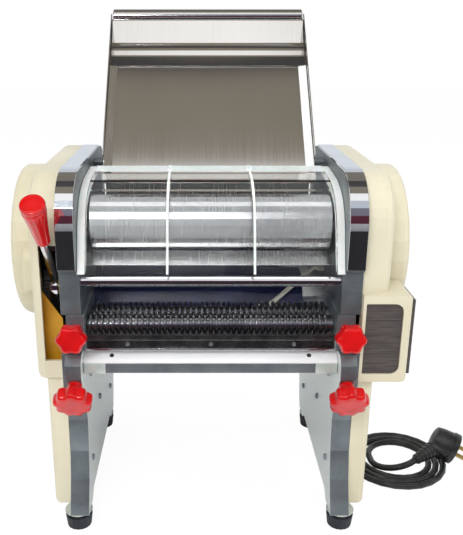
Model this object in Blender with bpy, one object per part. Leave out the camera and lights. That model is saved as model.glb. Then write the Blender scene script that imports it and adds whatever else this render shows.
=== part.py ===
# Tabletop electric dough sheeter with a noodle cutter and a mains lead.
# Front is -Y, the operator's right is +X, the floor is Z = 0. All lengths are in metres.
# The model is laid out about its own middle plane, with Y = 0 at the front of the chrome trim,
# and a last step moves the whole assembly so that its box stands centred on the origin.

import math

import bmesh
import bpy
from mathutils import Matrix, Vector

# Clearances
FIT_GAP = 0.0003            # between touching pieces
RUN_GAP = 0.0012            # beside a piece that turns
CUT_OVERRUN = 0.002         # how far a cutter runs past the face it cuts

# Side frames
INNER_HALF = 0.1195         # middle plane to the frames' inner faces
FRAME_THICKNESS = 0.0185
FRAME_WEB = 0.008
FRAME_RIM = 0.007
FRAME_HEIGHT = 0.355        # floor to the top of the chrome trim
FRAME_REAR = 0.230          # trim front to the frames' rear edge
CROWN_RADIUS = 0.048        # round corner at the top front
REAR_RADIUS = 0.030
CHEEK_STEP = 0.002          # the upper frame is set back for the guard's cheeks
CHEEK_STEP_Z = 0.264
FOOT_HEIGHT = 0.017
BELLY_Z = 0.025             # lower edge between the feet
TOE_REACH = 0.008           # the front foot stands this far before the trim
HEEL_Y = 0.212
PAD_LENGTH = 0.026
WAIST_Y = 0.0135            # most set-back point of the front leg
WAIST_Z = 0.112
BLOCK_Y = 0.006             # front of the jaw above the cutter slot
BLOCK_TOP = 0.268
NOSE_SEAT_Y = -0.0075       # middle of the slanted seat that the lower knob presses on
NOSE_SEAT_Z = 0.1610
NOSE_SEAT_HALF = 0.0080
NOSE_TRIM = 0.0035          # the nose is this much thinner than the frame
SLOT_TOP = 0.226            # jaws that hold the cutter unit
SLOT_FLOOR = 0.190
SLOT_DEPTH = 0.070
NOSE_TOP_Y = -0.004
NOSE_FRONT_Z = 0.182
REAR_WAIST_Z = 0.110
PAD_RUN = 0.011             # slanted run from a foot pad up to the belly
RECESS_FRONT = 0.034        # front of the weight-saving recess on the outer side
# Outline points between named ones, as shares of the run in y and in z.
NECK_CURVE_SHARES = ((0.45, 0.26), (0.82, 0.62))
TOE_CURVE_SHARES = ((0.10, 0.35), (0.42, 0.65), (0.85, 0.90))
HEEL_CURVE_SHARES = ((0.48, 0.20), (0.80, 0.48))

# Chrome trim
TRIM_THICKNESS = 0.0025
TRIM_WIDTH = 0.0163
TRIM_FOOT_Z = 0.2705
TRIM_REAR = 0.190

# Covers
COVER_WALL = 0.003
COVER_FRONT = 0.009         # cover front behind the trim front
COVER_SETBACK = 0.003       # cover edge inside the trim's top
COVER_REAR = 0.236
COVER_FLOOR = 0.0178
COVER_ARCH = 0.034          # height of the lower edge between the legs
COVER_DEPTH = 0.0267        # cover's flat outside beyond its inner edge
COVER_LEG_STEP = 0.008      # the cover's legs are this much nearer the middle plane
COVER_LEG_TOP = 0.160
COVER_EDGE = 0.008
BULGE_RISE = 0.025          # round bulge beyond the cover's flat outside
BULGE_RADIUS = 0.078
BULGE_Y = 0.119
BULGE_Z = 0.267
BULGE_EDGE = 0.006
COVER_CROWN = 0.044
COVER_LEG_SETBACK = 0.003
LEVER_SLOT_WIDTH = 0.0175
LEVER_SLOT_LOW = 0.178
LEVER_SLOT_HIGH = 0.291
SCALE_BOSS_Y = 0.046
SCALE_BOSS_Z = 0.256
SCALE_BOSS_HEIGHT = 0.046
SCALE_BOSS_RADIUS = 0.011
SCALE_BOSS_RISE = 0.013

# Switch box on the right cover
BOX_RISE = 0.019            # switch box beyond the cover's flat outside
BOX_LOW = 0.161
BOX_HIGH = 0.247
BOX_FRONT = -0.001
BOX_REAR = 0.064
BOX_EDGE = 0.005
PLATE_INSET = 0.0015
WINDOW_SETBACK = 0.0085     # window's outer edge inside the box's side
WINDOW_BORDER = 0.008
WINDOW_CORNER = 0.008
WINDOW_DEPTH = 0.004
SIDE_PLATE_THICKNESS = 0.003
SIDE_PLATE_BORDER = 0.006
SIDE_PLATE_REAR = 0.042
ROCKER_LENGTH = 0.030
ROCKER_WIDTH = 0.020
ROCKER_DEPTH = 0.010
ROCKER_PROUD = 0.0022
ROCKER_TRAVEL = 6.0         # degrees each way

# Sheeting rollers
ROLLER_RADIUS = 0.026
ROLLER_HALF = 0.1130
ROLLER_GAP = 0.0006         # thinnest setting
FRONT_ROLLER_Y = 0.058
FRONT_ROLLER_Z = 0.3005
ROLLER_TILT = -14.0         # degrees from the front roller down to the rear one
SHAFT_RADIUS = 0.009
ROLLER_EDGE = 0.001
ECCENTRICITY = 0.003
BUSH_RADIUS = 0.020
BUSH_BORE = 0.0134
BUSH_FLANGE = 0.003
FRONT_BEARING_RADIUS = 0.0127
BEARING_RADIUS = 0.016

# Thickness lever
LEVER_AXIS_Y = 0.042
LEVER_AXIS_Z = 0.241
LEVER_HALF = 0.1475         # middle plane to the lever rod
LEVER_ANGLE = 51.7          # degrees above straight forward
LEVER_TRAVEL = 60.0
LEVER_LENGTH = 0.127
LEVER_ROD_RADIUS = 0.0042
LEVER_HUB_RADIUS = 0.011
SECTOR_HUB = 0.008
GRIP_LENGTH = 0.053
GRIP_TOP_RADIUS = 0.0112
GRIP_FOOT_RADIUS = 0.0068
SECTOR_THICKNESS = 0.0055
SECTOR_TEETH = 26
SECTOR_SPAN = 6             # teeth on each toothed sector
STUD_RADIUS = 0.004         # fixed studs on the left frame
IDLER_NECK = 0.007

# Gear train and belt drive
GEAR_WIDTH = 0.0065
GEAR_GAP = 0.0015
ROLLER_TEETH = 22
MAIN_TEETH = 26
MAIN_MODULE = 0.0025
IDLER_TEETH = 27
IDLER_INNER_TEETH = 17
CUTTER_TEETH = 10
TOOTH_SHARE = 0.40          # tooth width at the pitch circle, as a share of the pitch
ADDENDUM_SHARE = 0.72       # tooth height above the pitch circle, in modules
DEDENDUM_SHARE = 1.05
PULLEY_RADIUS = 0.056
PULLEY_WIDTH = 0.012
FLYWHEEL_RADIUS = 0.050
FLYWHEEL_WIDTH = 0.018
MOTOR_PULLEY_RADIUS = 0.016
BELT_HEIGHT = 0.006
BELT_WIDTH = 0.008
GROOVE_DEPTH = 0.005

# Motor between the frames
MOTOR_RADIUS = 0.050
MOTOR_Y = 0.142
MOTOR_Z = 0.186
MOTOR_RIGHT = 0.050
MOTOR_FLANGE_RADIUS = 0.056
MOTOR_END_SHIELD = 0.014
MOTOR_STEP = 0.003
MOTOR_SHAFT_RADIUS = 0.007
GEARBOX_RADIUS = 0.040
GEARBOX_LENGTH = 0.050
CABLE_RADIUS = 0.0025
CABLE_Y = 0.100
CABLE_START_Z = 0.198
CABLE_END_Z = 0.240

# Noodle cutter unit
CUTTER_RADIUS = 0.014
CUTTER_CORE = 0.0095
CUTTER_Y = 0.026
CUTTER_Z = 0.2075
RING_COUNT = 21
RING_WIDTH_SHARE = 0.42
CUTTER_HALF = 0.1160
CUTTER_SHAFT_RADIUS = 0.006
COMB_LOW = 0.1995           # lower edge of the comb's front bar
COMB_HEIGHT = 0.0062
COMB_DEPTH = 0.0035
COMB_Y = 0.0062
COMB_TOOTH = 0.0040
COMB_WEB = 0.0020
SILL_DEPTH = 0.0100
SILL_SHEET = 0.0020
UNIT_TRAVEL = 0.090
BLOCK_FRONT = 0.0045
BLOCK_EAR = 0.0060
BLOCK_INNER = 0.1168

# Knobs
UPPER_KNOB_RADIUS = 0.0145
UPPER_KNOB_LOBES = 6
UPPER_KNOB_THICKNESS = 0.013
LOWER_KNOB_RADIUS = 0.0185
LOWER_KNOB_LOBES = 8
LOWER_KNOB_THICKNESS = 0.0135
KNOB_X = 0.1262
KNOB_HUB_RADIUS = 0.0072
UPPER_KNOB_FRONT = -0.020   # front face of the upper knobs
UPPER_KNOB_Z = 0.210
LOWER_HUB_LENGTH = 0.0108
KNOB_STUD_RADIUS = 0.0035
UPPER_STUD_LENGTH = 0.0055
LOWER_STUD_LENGTH = 0.012
LOWER_KNOB_TILT = 30.0      # degrees below straight forward
LOBE_SHARE = 0.085          # lobe height, as a share of the knob radius
KNOB_FACE_SHARE = 0.80      # front face, as a share of the knob radius
KNOB_ROUND_SHARE = 0.22     # rounded edge, as a share of the knob thickness

# Hopper tray
TRAY_HALF = 0.1115
TRAY_FOOT_Y = 0.126
TRAY_FOOT_Z = 0.323
TRAY_ANGLE = 47.2           # degrees from level
TRAY_LENGTH = 0.2235
TRAY_SHEET = 0.0012
TRAY_FLANGE = 0.010
TRAY_FOOT_LENGTH = 0.030    # stretch that has no side flange
TRAY_LIP_RADIUS = 0.0090
TRAY_TRAVEL = 0.060
REST_PIN_RADIUS = 0.003
REST_PIN_REACH = 0.018
REST_PIN_LOW = 0.008        # along the tray from its foot
REST_PIN_HIGH = 0.030

# Guard
GUARD_HALF = 0.1140
GUARD_SHEET = 0.003
GUARD_FRONT_Y = 0.0045
GUARD_FOOT_Z = 0.2655
GUARD_REAR_Y = 0.1180
GUARD_REAR_Z = 0.3435
GUARD_RIB_X = 0.0395
GUARD_RIB_WIDTH = 0.004
GUARD_RIB_HEIGHT = 0.0010
CHEEK_WIDTH = 0.0068
CHEEK_BAND = 0.010
GUARD_TRAVEL = 65.0
GUARD_CURVE_SHARES = ((0.0, 0.0), (0.084, 0.314), (0.137, 0.526), (0.273, 0.789), (0.542, 0.949), (1.0, 1.0))
PIVOT_RADIUS = 0.003

# Cross pieces
RAIL_RADIUS = 0.005
RAIL_Y = 0.0140
RAIL_Z = 0.2560
TIE_HEIGHT = 0.0095
TIE_DEPTH = 0.007
TIE_Y = 0.0025
TIE_Z = 0.1685
TIE_SLEEVE = 0.0205
SLIDE_REAR_Y = 0.020
SLIDE_REAR_Z = 0.1875
SLIDE_SHEET = 0.0015
REAR_ROD_RADIUS = 0.006
REAR_ROD_Y = 0.200
REAR_ROD_Z = 0.090
REAR_PANEL_SHEET = 0.0015
REAR_PANEL_LOW = 0.115
REAR_PANEL_HIGH = 0.335
REAR_PANEL_Y = 0.222
SCRAPER_SHEET = 0.0015
SCRAPER_REAR_Y = 0.046
SCRAPER_REAR_Z = 0.2745
SCRAPER_FRONT_Y = 0.030
SCRAPER_FRONT_Z = 0.2655

# Feet
FOOT_X = 0.1315
FOOT_RADIUS = 0.0135
FOOT_FRONT_Y = 0.0045
FOOT_REAR_Y = 0.1985
FOOT_RUBBER = 0.0125
FOOT_TAPER = 0.0015
FOOT_STEM_RADIUS = 0.009

# Mains lead
CORD_DIAMETER = 0.007
GLAND_Z = 0.062
GLAND_HALF = 0.1465
GLAND_RADIUS = 0.0062
GLAND_FLANGE = 0.0075
GLAND_TIP = 0.0048
GLAND_LENGTH = 0.022        # from the cover's rear wall
COIL_X = 0.2175
COIL_Y = 0.1140
COIL_OUTER = 0.0565         # middle of the cord on the outermost turn
COIL_PITCH = 0.0079
COIL_TURNS = 3
COIL_START = 180.0          # degrees, where the outermost turn begins
COIL_TUCK = 0.0038          # extra inward run of the coil's inner end
COIL_TUCK_TURN = 130.0      # degrees over which it tucks in
COIL_LOOP_POINTS = 24
PLUG_LENGTH = 0.030
PLUG_RADIUS = 0.018
PLUG_BACK_SHARE = 0.62
RELIEF_LENGTH = 0.030
RELIEF_TIP_RADIUS = 0.0046
RELIEF_FOOT_RADIUS = 0.0085
RELIEF_RIBS = 5
RELIEF_RIB_HEIGHT = 0.0009
PIN_RADIUS = 0.0024
PIN_LENGTH = 0.019
PIN_SPACING = 0.019

LEFT = -1.0
RIGHT = 1.0
DEEP = 40.0                 # degrees, sharp-edge limit for smooth shading

root = None


# Helpers: scene, material and mesh making

def clear_scene():
    for item in list(bpy.data.objects):
        bpy.data.objects.remove(item, do_unlink=True)
    for mesh in list(bpy.data.meshes):
        bpy.data.meshes.remove(mesh)


def material(name, colour, roughness, metallic, alpha=1.0):
    made = bpy.data.materials.new(name)
    made.use_nodes = True
    shader = made.node_tree.nodes["Principled BSDF"]
    shader.inputs["Base Color"].default_value = (*colour, 1.0)
    shader.inputs["Roughness"].default_value = roughness
    shader.inputs["Metallic"].default_value = metallic
    shader.inputs["Alpha"].default_value = alpha
    made.diffuse_color = (*colour, alpha)
    return made


CREAM = ("cream plastic", (0.83, 0.79, 0.62), 0.42, 0.0)
ALUMINIUM = ("cast aluminium", (0.36, 0.40, 0.43), 0.38, 0.9)
CHROME = ("chrome", (0.78, 0.80, 0.83), 0.08, 1.0)
STAINLESS = ("stainless sheet", (0.62, 0.61, 0.58), 0.25, 1.0)
STEEL = ("ground steel", (0.42, 0.43, 0.45), 0.30, 1.0)
DARK_STEEL = ("dark steel", (0.10, 0.10, 0.11), 0.35, 0.9)
BRASS = ("brass", (0.60, 0.43, 0.16), 0.35, 1.0)
RED = ("red knob plastic", (0.80, 0.02, 0.02), 0.30, 0.0)
GREY = ("grey brown plastic", (0.13, 0.11, 0.105), 0.45, 0.0)
BLACK = ("black rubber", (0.012, 0.012, 0.014), 0.55, 0.0)
BLUE = ("blue enamel", (0.02, 0.05, 0.22), 0.40, 0.1)
CLEAR = ("clear plastic", (0.92, 0.95, 0.96), 0.06, 0.0, 0.25)
MILKY = ("milky plastic", (0.80, 0.81, 0.78), 0.35, 0.0)
PALE_CABLE = ("pale cable", (0.62, 0.64, 0.62), 0.45, 0.0)


def finish_object(name, mesh, look, parent=None):
    made = bpy.data.objects.new(name, mesh)
    bpy.context.scene.collection.objects.link(made)
    mesh.materials.append(material(name + " " + look[0], *look[1:]))
    mesh.shade_smooth()
    mesh.set_sharp_from_angle(angle=math.radians(DEEP))
    attach(made, parent)
    return made


def attach(item, parent=None):
    """Hangs an object on a joint's empty, or on the root; its mesh is in the layout frame."""
    item.parent = parent or root
    item.location = -layout_place(item.parent)


def joint_empty(name, place, parent=None):
    """An empty on a joint's axis, placed in the layout frame."""
    made = bpy.data.objects.new(name, None)
    bpy.context.scene.collection.objects.link(made)
    made.empty_display_size = CORD_DIAMETER
    base = parent or root
    made.parent = base
    made.location = Vector(place) - layout_place(base)
    return made


def layout_place(item):
    """Where an unturned empty sits in the layout frame."""
    total = Vector((0, 0, 0))
    while item is not None and item is not root:
        total += item.location
        item = item.parent
    return total


def mesh_from(name, bm):
    bmesh.ops.remove_doubles(bm, verts=bm.verts, dist=FIT_GAP / 100)
    bmesh.ops.recalc_face_normals(bm, faces=bm.faces)
    mesh = bpy.data.meshes.new(name)
    bm.to_mesh(mesh)
    bm.free()
    return mesh


def loft_bmesh(rings, closed=False):
    """Skins rings of points, all with one count; open lofts get flat end caps."""
    bm = bmesh.new()
    rows = [[bm.verts.new(point) for point in ring] for ring in rings]
    count = len(rings[0])
    last = len(rows) if closed else len(rows) - 1
    for index in range(last):
        near, far = rows[index], rows[(index + 1) % len(rows)]
        for step in range(count):
            after = (step + 1) % count
            bm.faces.new((near[step], near[after], far[after], far[step]))
    if not closed:
        bm.faces.new(list(reversed(rows[0])))
        bm.faces.new(rows[-1])
    return bm


def loft_x(name, sections):
    """A loft along X; each section is an X value and its outline of (y, z) points."""
    rings = [[(x, y, z) for y, z in outline] for x, outline in sections]
    return mesh_from(name, loft_bmesh(rings))


def prism_x(name, outline, x_from, x_to):
    return loft_x(name, [(x_from, outline), (x_to, outline)])


def turned(profile, segments):
    """A solid of revolution about its local X axis; profile is a list of (x, radius)."""
    bm = bmesh.new()
    verts = [bm.verts.new((x, 0, radius)) for x, radius in profile]
    edges = [bm.edges.new(pair) for pair in zip(verts, verts[1:])]
    bmesh.ops.spin(bm, geom=verts + edges, cent=(0, 0, 0), axis=(1, 0, 0),
                   angle=math.tau, steps=segments, use_merge=True)
    return bm


def turned_mesh(name, profile, segments=24):
    """A turned solid whose profile starts and ends on the axis."""
    bm = turned(profile, segments)
    bmesh.ops.remove_doubles(bm, verts=bm.verts, dist=FIT_GAP / 100)
    bmesh.ops.dissolve_degenerate(bm, dist=FIT_GAP / 100, edges=bm.edges)
    return mesh_from(name, bm)


def ring_mesh(name, profile, segments=24):
    """A turned solid whose profile is a closed loop round the axis."""
    return turned_mesh(name, profile + [profile[0]], segments)


def box_mesh(name, low, high, bevel=0.0, segments=2):
    bm = bmesh.new()
    bmesh.ops.create_cube(bm, size=1)
    size = Vector(high) - Vector(low)
    middle = (Vector(high) + Vector(low)) / 2
    bmesh.ops.scale(bm, vec=size, verts=bm.verts)
    bmesh.ops.translate(bm, vec=middle, verts=bm.verts)
    if bevel:
        bmesh.ops.bevel(bm, geom=bm.edges, offset=bevel, segments=segments, affect="EDGES",
                        profile=0.5)
    return mesh_from(name, bm)


def spread(low, high):
    """Orders two corners so that each value of the first is the smaller."""
    pairs = [sorted(pair) for pair in zip(low, high)]
    return [pair[0] for pair in pairs], [pair[1] for pair in pairs]


def sided_box(name, side, inner, outer, y_low, y_high, z_low, z_high, bevel=0.0):
    low, high = spread((side * inner, y_low, z_low), (side * outer, y_high, z_high))
    return box_mesh(name, low, high, bevel)


def cut(target, cutter_mesh, operation="DIFFERENCE"):
    """Adds a Boolean modifier with a hidden cutter that hangs on the target."""
    cutter = bpy.data.objects.new(target.name + "_cutter", cutter_mesh)
    bpy.context.scene.collection.objects.link(cutter)
    cutter.hide_render = True
    cutter.display_type = "WIRE"
    cutter.parent = target
    modifier = target.modifiers.new(operation.lower(), "BOOLEAN")
    modifier.operation = operation
    modifier.object = cutter
    modifier.solver = "EXACT"
    return modifier


def circle_points(cy, cz, radius, count, start=0.0, sweep=math.tau, ends=False):
    """Points (y, z) along an arc; a full circle leaves out its repeated last point."""
    steps = count - 1 if ends else count
    return [(cy + radius * math.cos(start + sweep * k / steps),
             cz + radius * math.sin(start + sweep * k / steps)) for k in range(count)]


def inset(outline, distance):
    """Moves a closed outline inwards by a distance, with mitred corners."""
    area = sum(a[0] * b[1] - b[0] * a[1] for a, b in zip(outline, outline[1:] + outline[:1]))
    sense = 1 if area > 0 else -1
    moved = []
    count = len(outline)
    for k, point in enumerate(outline):
        before, here, after = (Vector(outline[k - 1]), Vector(point),
                               Vector(outline[(k + 1) % count]))
        first = (here - before).normalized()
        second = (after - here).normalized()
        left = Vector((-first.y, first.x)) * sense
        right = Vector((-second.y, second.x)) * sense
        bisector = (left + right).normalized()
        stretch = 1 / max(bisector.dot(left), SHARP_SHARE)
        moved.append(tuple(here + bisector * distance * stretch))
    return moved


SHARP_SHARE = 0.5           # a mitre grows to twice the inset at most


# Derived places

FRAME_OUTER = INNER_HALF + FRAME_THICKNESS
FRAME_FRONT = TRIM_THICKNESS + FIT_GAP
FRAME_TOP = FRAME_HEIGHT - TRIM_THICKNESS - FIT_GAP
UPPER_INNER = INNER_HALF + CHEEK_STEP
ROLLER_PITCH = 2 * ROLLER_RADIUS + ROLLER_GAP
TILT = math.radians(ROLLER_TILT)
REAR_ROLLER_Y = FRONT_ROLLER_Y + ROLLER_PITCH * math.cos(TILT)
REAR_ROLLER_Z = FRONT_ROLLER_Z + ROLLER_PITCH * math.sin(TILT)
# The eccentric swings as far before as after the place where it moves the roller level.
ECCENTRIC_START = math.pi * 1.5 + math.radians(LEVER_TRAVEL / 2)
BUSH_Y = FRONT_ROLLER_Y - ECCENTRICITY * math.cos(ECCENTRIC_START)
BUSH_Z = FRONT_ROLLER_Z - ECCENTRICITY * math.sin(ECCENTRIC_START)
SECTOR_LAYER = FRAME_OUTER + RUN_GAP
ROLLER_GEAR_LAYER = SECTOR_LAYER + SECTOR_THICKNESS + GEAR_GAP
MAIN_LAYER = ROLLER_GEAR_LAYER + GEAR_WIDTH + GEAR_GAP
CUTTER_SPACING = MAIN_MODULE * CUTTER_TEETH
CUTTER_REAR_Y = CUTTER_Y + CUTTER_SPACING
WEB_OUTER = INNER_HALF + FRAME_WEB
CUTTER_GEAR_LAYER = WEB_OUTER + RUN_GAP
COVER_INNER = FRAME_OUTER + FIT_GAP
COVER_HALF = COVER_INNER + COVER_DEPTH
COVER_LEG_HALF = COVER_HALF - COVER_LEG_STEP
BULGE_HALF = COVER_HALF + BULGE_RISE
SCALE_BOSS_HALF = COVER_HALF + SCALE_BOSS_RISE
BOX_HALF = COVER_HALF + BOX_RISE
WINDOW_OUTER = BOX_HALF - WINDOW_SETBACK
PULLEY_LAYER = COVER_INNER + COVER_EDGE
MOTOR_LEFT = -(INNER_HALF - FIT_GAP)
UPPER_SEAT = UPPER_INNER - FIT_GAP
LOWER_SEAT = INNER_HALF - FIT_GAP
CUTTER_PITCH = 2 * CUTTER_HALF / RING_COUNT
ROLLER_MODULE = ROLLER_PITCH / ROLLER_TEETH
LEVER_SPREAD = math.hypot(BUSH_Y - LEVER_AXIS_Y, BUSH_Z - LEVER_AXIS_Z)
SECTOR_MODULE = LEVER_SPREAD / SECTOR_TEETH
PIVOT_Y = GUARD_REAR_Y - CHEEK_BAND / 2
PIVOT_Z = GUARD_REAR_Z - CHEEK_BAND / 2
SLOPE = math.radians(TRAY_ANGLE)
KNOB_TILT = math.radians(LOWER_KNOB_TILT)


# Helpers: directions, paths and gears

ROUND = 16                  # sides of a small turned piece
WIDE_ROUND = 26             # sides of a large one
RIM_STEPS = 6               # points on a corner's quarter circle
EDGE_STEPS = 3              # steps round a moulded edge
PATH_STEPS = 5              # smooth points between two route points


def cylinder_between(name, start, end, radius, segments=ROUND):
    """A round bar from one point to another."""
    run = Vector(end) - Vector(start)
    mesh = turned_mesh(name, [(0, 0), (0, radius), (run.length, radius), (run.length, 0)], segments)
    mesh.transform(aim(run, start))
    return mesh


def aim(direction, place):
    """Turns local +X to a direction and moves the local origin to a place."""
    turn = Vector((1, 0, 0)).rotation_difference(Vector(direction)).to_matrix().to_4x4()
    return Matrix.Translation(Vector(place)) @ turn


def moved(mesh, place):
    mesh.transform(Matrix.Translation(Vector(place)))
    return mesh


def smooth_path(points, steps=PATH_STEPS):
    """A smooth curve through route points, read at even steps."""
    points = [Vector(point) for point in points]
    ends = [points[0] * 2 - points[1]] + points + [points[-1] * 2 - points[-2]]
    found = []
    for a, b, c, d in zip(ends, ends[1:], ends[2:], ends[3:]):
        for k in range(steps):
            t = k / steps
            found.append((b * 2 + (c - a) * t + (a * 2 - b * 5 + c * 4 - d) * t ** 2
                          + (b * 3 - a - c * 3 + d) * t ** 3) / 2)
    found.append(points[-1])
    return found


def offset_path(path, distance):
    """Moves an open (y, z) path sideways, to its right for a positive distance."""
    found = []
    for k, point in enumerate(path):
        before = Vector(path[max(k - 1, 0)])
        after = Vector(path[min(k + 1, len(path) - 1)])
        along = (after - before).normalized()
        found.append((point[0] + along.y * distance, point[1] - along.x * distance))
    return found


def gear_outline(teeth, module, phase, cy, cz):
    """Spur gear outline with one tooth's middle at the phase angle."""
    points = []
    for tooth in range(teeth):
        points += tooth_points(teeth, module, phase + math.tau * tooth / teeth, cy, cz)
    return points


def tooth_points(teeth, module, middle, cy, cz):
    radius = teeth * module / 2
    tip = radius + ADDENDUM_SHARE * module
    foot = radius - DEDENDUM_SHARE * module
    half = TOOTH_SHARE * math.pi * module / 2
    slant = math.tan(math.radians(PRESSURE_ANGLE))
    foot_turn = (half + DEDENDUM_SHARE * module * slant) / radius
    tip_turn = (half - ADDENDUM_SHARE * module * slant) / radius
    spots = [(foot, -foot_turn), (tip, -tip_turn), (tip, tip_turn), (foot, foot_turn)]
    return [(cy + r * math.cos(middle + turn), cz + r * math.sin(middle + turn))
            for r, turn in spots]


PRESSURE_ANGLE = 20.0


def sector_outline(teeth, module, phase, middle, hub, cy, cz):
    """A hub with a toothed sector round the middle angle."""
    pitch = math.tau / teeth
    reach = pitch * SECTOR_SPAN / 2
    first = math.ceil((middle - reach - phase) / pitch)
    points = []
    for tooth in range(first, first + SECTOR_SPAN):
        points += tooth_points(teeth, module, phase + pitch * tooth, cy, cz)
    low = phase + pitch * first - pitch / 2
    high = low + pitch * SECTOR_SPAN
    points += circle_points(cy, cz, hub, RIM_STEPS * 2, high, math.tau - (high - low), True)
    return points


def mesh_phase(phase, teeth, other_teeth, direction):
    """Phase of a gear that meshes with another one lying in a direction from it."""
    turns = (direction - phase) * teeth / math.tau - 1 / 2
    return direction + math.pi + math.tau / other_teeth * turns


def direction_to(y_from, z_from, y_to, z_to):
    return math.atan2(z_to - z_from, y_to - y_from)


def bore(target, y, z, radius, x_from, x_to, segments=ROUND):
    """Cuts a round hole along X."""
    cut(target, cylinder_between("bore", (x_from, y, z), (x_to, y, z), radius, segments))


# Side frames

def shares_between(shares, start, end):
    return [(start[0] + (end[0] - start[0]) * a, start[1] + (end[1] - start[1]) * b)
            for a, b in shares]


def frame_outline():
    seat = Vector((math.sin(KNOB_TILT), -math.cos(KNOB_TILT))) * NOSE_SEAT_HALF
    seat_low = (NOSE_SEAT_Y + seat.x, NOSE_SEAT_Z + seat.y)
    seat_high = (NOSE_SEAT_Y - seat.x, NOSE_SEAT_Z - seat.y)
    waist = (WAIST_Y, WAIST_Z)
    toe = (-TOE_REACH, FOOT_HEIGHT)
    heel = (HEEL_Y, FOOT_HEIGHT)
    rear_waist = (FRAME_REAR, REAR_WAIST_Z)
    crown = CROWN_RADIUS - FRAME_FRONT
    points = [(BLOCK_Y, SLOT_TOP), (SLOT_DEPTH, SLOT_TOP), (SLOT_DEPTH, SLOT_FLOOR),
              (NOSE_TOP_Y, SLOT_FLOOR), (seat_high[0], NOSE_FRONT_Z), seat_high, seat_low]
    points += shares_between(NECK_CURVE_SHARES, seat_low, waist) + [waist]
    points += shares_between(TOE_CURVE_SHARES, waist, toe) + [toe]
    points += [(PAD_LENGTH - TOE_REACH, FOOT_HEIGHT), (PAD_LENGTH - TOE_REACH + PAD_RUN, BELLY_Z),
               (HEEL_Y - PAD_LENGTH - PAD_RUN, BELLY_Z), (HEEL_Y - PAD_LENGTH, FOOT_HEIGHT), heel]
    points += shares_between(HEEL_CURVE_SHARES, heel, rear_waist) + [rear_waist]
    points += circle_points(FRAME_REAR - REAR_RADIUS, FRAME_TOP - REAR_RADIUS, REAR_RADIUS,
                            RIM_STEPS, 0.0, math.pi / 2, True)
    points += circle_points(CROWN_RADIUS, FRAME_HEIGHT - CROWN_RADIUS, crown,
                            RIM_STEPS * 2, math.pi / 2, math.pi / 2, True)
    points += [(FRAME_FRONT, BLOCK_TOP), (BLOCK_Y, BLOCK_TOP)]
    return points


def side_frame(name, side):
    frame = finish_object(name, prism_x(name, frame_outline(), side * INNER_HALF,
                                        side * FRAME_OUTER), ALUMINIUM)
    over = CUT_OVERRUN
    cut(frame, sided_box("step", side, INNER_HALF - over, UPPER_INNER, -TOE_REACH - NOSE_SEAT_HALF,
                         FRAME_REAR + over, CHEEK_STEP_Z, FRAME_HEIGHT + over))
    cut(frame, sided_box("nose side", side, FRAME_OUTER - NOSE_TRIM, FRAME_OUTER + over,
                         -SLOT_DEPTH, -FRAME_FRONT, WAIST_Z, SLOT_FLOOR + over))
    recess = [(RECESS_FRONT, BELLY_Z + FRAME_RIM), (HEEL_Y - FRAME_RIM, BELLY_Z + FRAME_RIM),
              (FRAME_REAR - 2 * FRAME_RIM, REAR_WAIST_Z), (FRAME_REAR - 2 * FRAME_RIM, RECESS_TOP),
              (SLOT_DEPTH + FRAME_RIM, RECESS_TOP), (SLOT_DEPTH + FRAME_RIM, SLOT_FLOOR - FRAME_RIM),
              (RECESS_FRONT, SLOT_FLOOR - FRAME_RIM)]
    cut(frame, prism_x("recess", recess, side * WEB_OUTER, side * (FRAME_OUTER + over)))
    inner = side * (INNER_HALF - over)
    outer = side * (FRAME_OUTER + over)
    bore(frame, BUSH_Y, BUSH_Z, BUSH_RADIUS + FIT_GAP, inner, outer, WIDE_ROUND)
    bore(frame, REAR_ROLLER_Y, REAR_ROLLER_Z, BEARING_RADIUS, inner, outer, WIDE_ROUND)
    bore(frame, PIVOT_Y, PIVOT_Z, PIVOT_RADIUS + FIT_GAP, inner,
         side * (UPPER_INNER + PIVOT_LENGTH + FIT_GAP))
    along = Vector((0, math.cos(KNOB_TILT), math.sin(KNOB_TILT)))
    seat = Vector((side * KNOB_X, NOSE_SEAT_Y, NOSE_SEAT_Z))
    cut(frame, cylinder_between("knob bore", seat - along * NOSE_SEAT_HALF,
                                seat + along * (LOWER_STUD_LENGTH + FIT_GAP),
                                KNOB_STUD_RADIUS + FIT_GAP))
    if side == LEFT:
        bore(frame, IDLER_Y, IDLER_Z, IDLER_INNER_TEETH * MAIN_MODULE / 2 + MAIN_MODULE + RUN_GAP,
             side * WEB_OUTER, outer, WIDE_ROUND)
        cut(frame, cylinder_between("idler stud", (side * (INNER_HALF + over), IDLER_Y, IDLER_Z),
                                    (side * (MAIN_LAYER + GEAR_WIDTH), IDLER_Y, IDLER_Z),
                                    STUD_RADIUS), "UNION")
        cut(frame, cylinder_between("lever stud", (side * WEB_OUTER, LEVER_AXIS_Y, LEVER_AXIS_Z),
                                    (side * (LEVER_HALF + LEVER_ROD_RADIUS), LEVER_AXIS_Y,
                                     LEVER_AXIS_Z), STUD_RADIUS), "UNION")
    else:
        bore(frame, MOTOR_Y, MOTOR_Z, MOTOR_SHAFT_RADIUS + RUN_GAP, inner, outer)
    for run in (REST_PIN_LOW, REST_PIN_HIGH):
        y, z = tray_point(run, -REST_PIN_RADIUS - FIT_GAP)
        cut(frame, cylinder_between("rest pin", (side * (UPPER_INNER - REST_PIN_REACH), y, z),
                                    (side * WEB_OUTER, y, z), REST_PIN_RADIUS), "UNION")
    return frame


def tray_point(run, rise):
    """A (y, z) place that lies a run up the tray and a rise above its underside."""
    return (TRAY_FOOT_Y + run * math.cos(SLOPE) - rise * math.sin(SLOPE),
            TRAY_FOOT_Z + run * math.sin(SLOPE) + rise * math.cos(SLOPE))


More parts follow.
